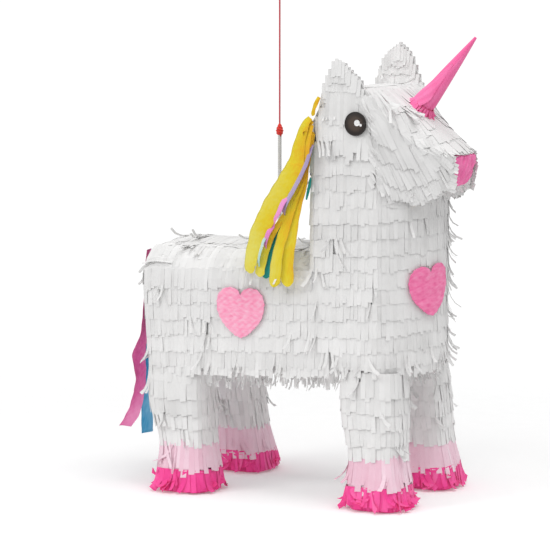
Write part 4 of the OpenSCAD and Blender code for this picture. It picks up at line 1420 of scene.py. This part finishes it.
def nose():
    """A crumpled crepe patch wrapped over the end of the muzzle."""
    low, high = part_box("nose_cover")
    down = np.linspace(0, 1, 40)[:, None]
    over = np.linspace(-1, 1, 40)[None]
    half = (high.y + 1 * MM) * (1 - 0.22 * down**2)
    x = mix(NOSE_X, NOSE_LOW_X, down) + 4.0 * MM
    z = mix(high.z - 1 * MM - 3 * MM * over**4, low.z + 2 * MM + 9 * MM * over**4, down)
    folds = (np.sin(over * 9 + down * 4) * 0.5 + np.sin(over * 4 - down * 11 + 1) * 0.7
             + np.sin(over * 17 + down * 23) * 0.3 + mottle(over * 30, down * 30, 9)) * 0.6 * MM
    swell = 4.5 * MM * (1 - over**2) * (1 - (2 * down - 1) ** 2)
    side_wrap = 9.0 * MM * np.clip((np.abs(over) - 0.78) / 0.22, 0, 1) ** 1.5
    end_wrap = 3.0 * MM * np.clip((np.abs(2 * down - 1) - 0.8) / 0.2, 0, 1) ** 2
    face = xyz(x + folds + swell - side_wrap - end_wrap, half * over, z + folds * 0.3)
    points, quads = plate_arrays(face, face - np.array([0.7 * MM, 0, 0]))
    # The tint follows the folds that shape the patch: painted light on their ridges, painted shade in their
    # hollows.
    piece("crepe_nose", points, quads[:, ::-1], NOSE_PINK, ["nose_cover"],
          tint=0.5 + folds / MM * 0.30)


def on_horn(radius, angle, along):
    """A point on the horn: angle round its axis, along it from its base."""
    axis = np.array(HORN_AXIS)
    side = np.array([0.0, 1.0, 0.0])
    up = np.cross(side, axis)
    radius, angle, along = (x[..., None] for x in np.broadcast_arrays(radius, angle, along))
    ring = np.cos(angle) * side + np.sin(angle) * up
    return np.array(HORN_BASE) + axis * along + ring * radius


HORN_R, HORN_TIP_R, HORN_L = 13 * MM, 1.6 * MM, 111 * MM


def horn_cone():
    """Crepe wound round a cone, with a lapped seam, and gathered in at its foot."""
    a = np.linspace(0, 2 * np.pi, 97)[None]
    s = np.linspace(0, 1, 90)[:, None]
    seam = np.mod(a + 1.9 * s + 2.2, 2 * np.pi) / (2 * np.pi)
    radius = mix(HORN_R, HORN_TIP_R, s) + 0.7 * MM * np.sin(np.pi * s) + 1.1 * MM * seam * (1 - s)
    gather = np.clip((0.16 - s) / 0.16, 0, 1)
    radius = radius + gather * (0.9 * MM * np.sin(a * 17) + 0.6 * MM * np.sin(a * 29 + 1))
    waist, foot = np.exp(-((s - 0.075) / 0.03) ** 2), np.clip((0.05 - s) / 0.05, 0, 1)
    radius = radius - 1.8 * MM * waist + 1.6 * MM * foot
    creases = (np.sin(a * 5 + s * 9) + 0.6 * np.sin(a * 11 - s * 6 + 2)) * 0.16 * MM * (1 - s)
    outer = on_horn(radius + creases, a, s * HORN_L)
    inner = on_horn(np.maximum(radius - 1.2 * MM, 0.4 * MM), a, s * (HORN_L - 1 * MM))
    points, quads = plate_arrays(outer, inner)
    # The tint follows the shape: painted shade just under the lapped seam's edge, painted light toward the
    # raised lap and on the creases' ridges.
    piece("crepe_horn", points, quads, HORN_PINK, ["horn_cone"],
          tint=0.5 + 0.30 * (seam - 0.5) + creases / MM * 0.8)


def horn_petal():
    """The loose pointed end of the wrapping, on the horn's near side."""
    across = np.linspace(-1, 1, 21)[None]
    t = np.linspace(0, 1, 34)[:, None]
    turn = 3.55 + across * 1.0 * (1 - 0.80 * t) * np.sqrt(np.clip(0.25 + 3.2 * t, 0, 1)) - 0.35 * t
    along = 9 * MM + t * 62 * MM
    radius = mix(HORN_R, HORN_TIP_R, along / HORN_L) + 1.3 * MM + 2.0 * MM * (1 - t) ** 2 * np.abs(across)
    radius = radius + 0.35 * MM * np.sin(across * 7 + t * 12) * (1 - t)
    points, quads = plate_arrays(on_horn(radius, turn, along), on_horn(radius - 0.5 * MM, turn, along))
    # The tint's ripple follows the ripple in the radius: painted light on the ridges, painted shade between
    # them.
    piece("horn_petal", points, quads, HORN_PINK,
          tint=0.66 + 0.12 * np.sin(across * 7 + t * 12))


def horn_collar():
    """A ruffle of short strips round the horn's foot."""
    round_r = 14 * MM

    def at(u, v):
        angle, along = u / round_r, 9 * MM - v
        point = on_horn(13.6 * MM + 0.35 * v, angle, along)
        return point, unit(on_horn(1.0, angle, along) - on_horn(0.0, angle, along))
    row(at, spaced(2 * math.pi * round_r, 3.6 * MM), 0.0, length=11 * MM, width=3.8 * MM, key="collar",
        calm=4.0, curl_share=0.5, lift=0.2 * MM, rise=0.10, ragged=0.15)
    fringe.build("collar", "horn_collar", HORN_PINK, ["horn_ruffle"])


eyes()
nose()
horn_cone()
horn_petal()
horn_collar()

# ---------------------------------------------------------------- knots


def knot_arrays(centre, radius, height, turns=5):
    """A wound knot, narrow on top, its surface in rounded turns."""
    t = np.linspace(0, 1, 60)[:, None]
    a = np.linspace(0, 2 * np.pi, 33)[None]
    body = np.sin(np.pi * np.clip(t * 0.94 + 0.03, 0, 1)) ** 0.7 * (1 - 0.55 * t**1.5)
    wound = 1 + 0.10 * np.sin(2 * np.pi * turns * t + a * 2)
    r = radius * body * wound
    z = -radius + height * t
    return plate_arrays(centre + xyz(r * np.cos(a), r * np.sin(a), z),
                        centre + xyz(0.5 * r * np.cos(a), 0.5 * r * np.sin(a), z))


def knots():
    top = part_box("cord_knots")[1].z - 3 * MM
    for name, z, radius, height, nodes in (("lower", 432 * MM, 5.2 * MM, 17 * MM, ["cord_knots"]),
                                           ("upper", top, 3.2 * MM, 6.4 * MM, [])):
        points, quads = knot_arrays(np.array([CORD_X * MM, 0, z]), radius, height)
        piece(f"wound_knot_{name}", points, quads, KNOT_RED, nodes)


knots()

# ---------------------------------------------------------------- carried-over CAD nodes

BOARD_BODY = cardboard("board_body", (-0.02, 0, 0.21))
BOARD_NECK = cardboard("board_neck", (0.095, 0, 0.36))
BOARD_WHITE = crepe("board_white", (0.70, 0.695, 0.69), (0.78, 0.775, 0.77), (0.83, 0.825, 0.82),
                    crinkle=0.15)


def repaint(node, material):
    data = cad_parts[node].data
    data.materials.clear()
    data.materials.append(material)


for node in ("back_panel", "rump_panel", "belly_panel", "fill_flap"):
    repaint(node, BOARD_BODY)
for node in ("side_panel_right", "side_panel_left", "chest_panel", "crest_panel", "crown_panel",
             "forehead_panel", "cheek_panel_right", "cheek_panel_left", "chin_panel", "nose_board"):
    repaint(node, BOARD_NECK)
for node in ("ear_right", "ear_left"):
    repaint(node, BOARD_WHITE)
for end, side in LEGS:
    repaint(f"leg_tube_{end}_{side}", BOARD_WHITE)
    repaint(f"sole_{end}_{side}", BOARD_BODY)
repaint("anchor_stick", wood())
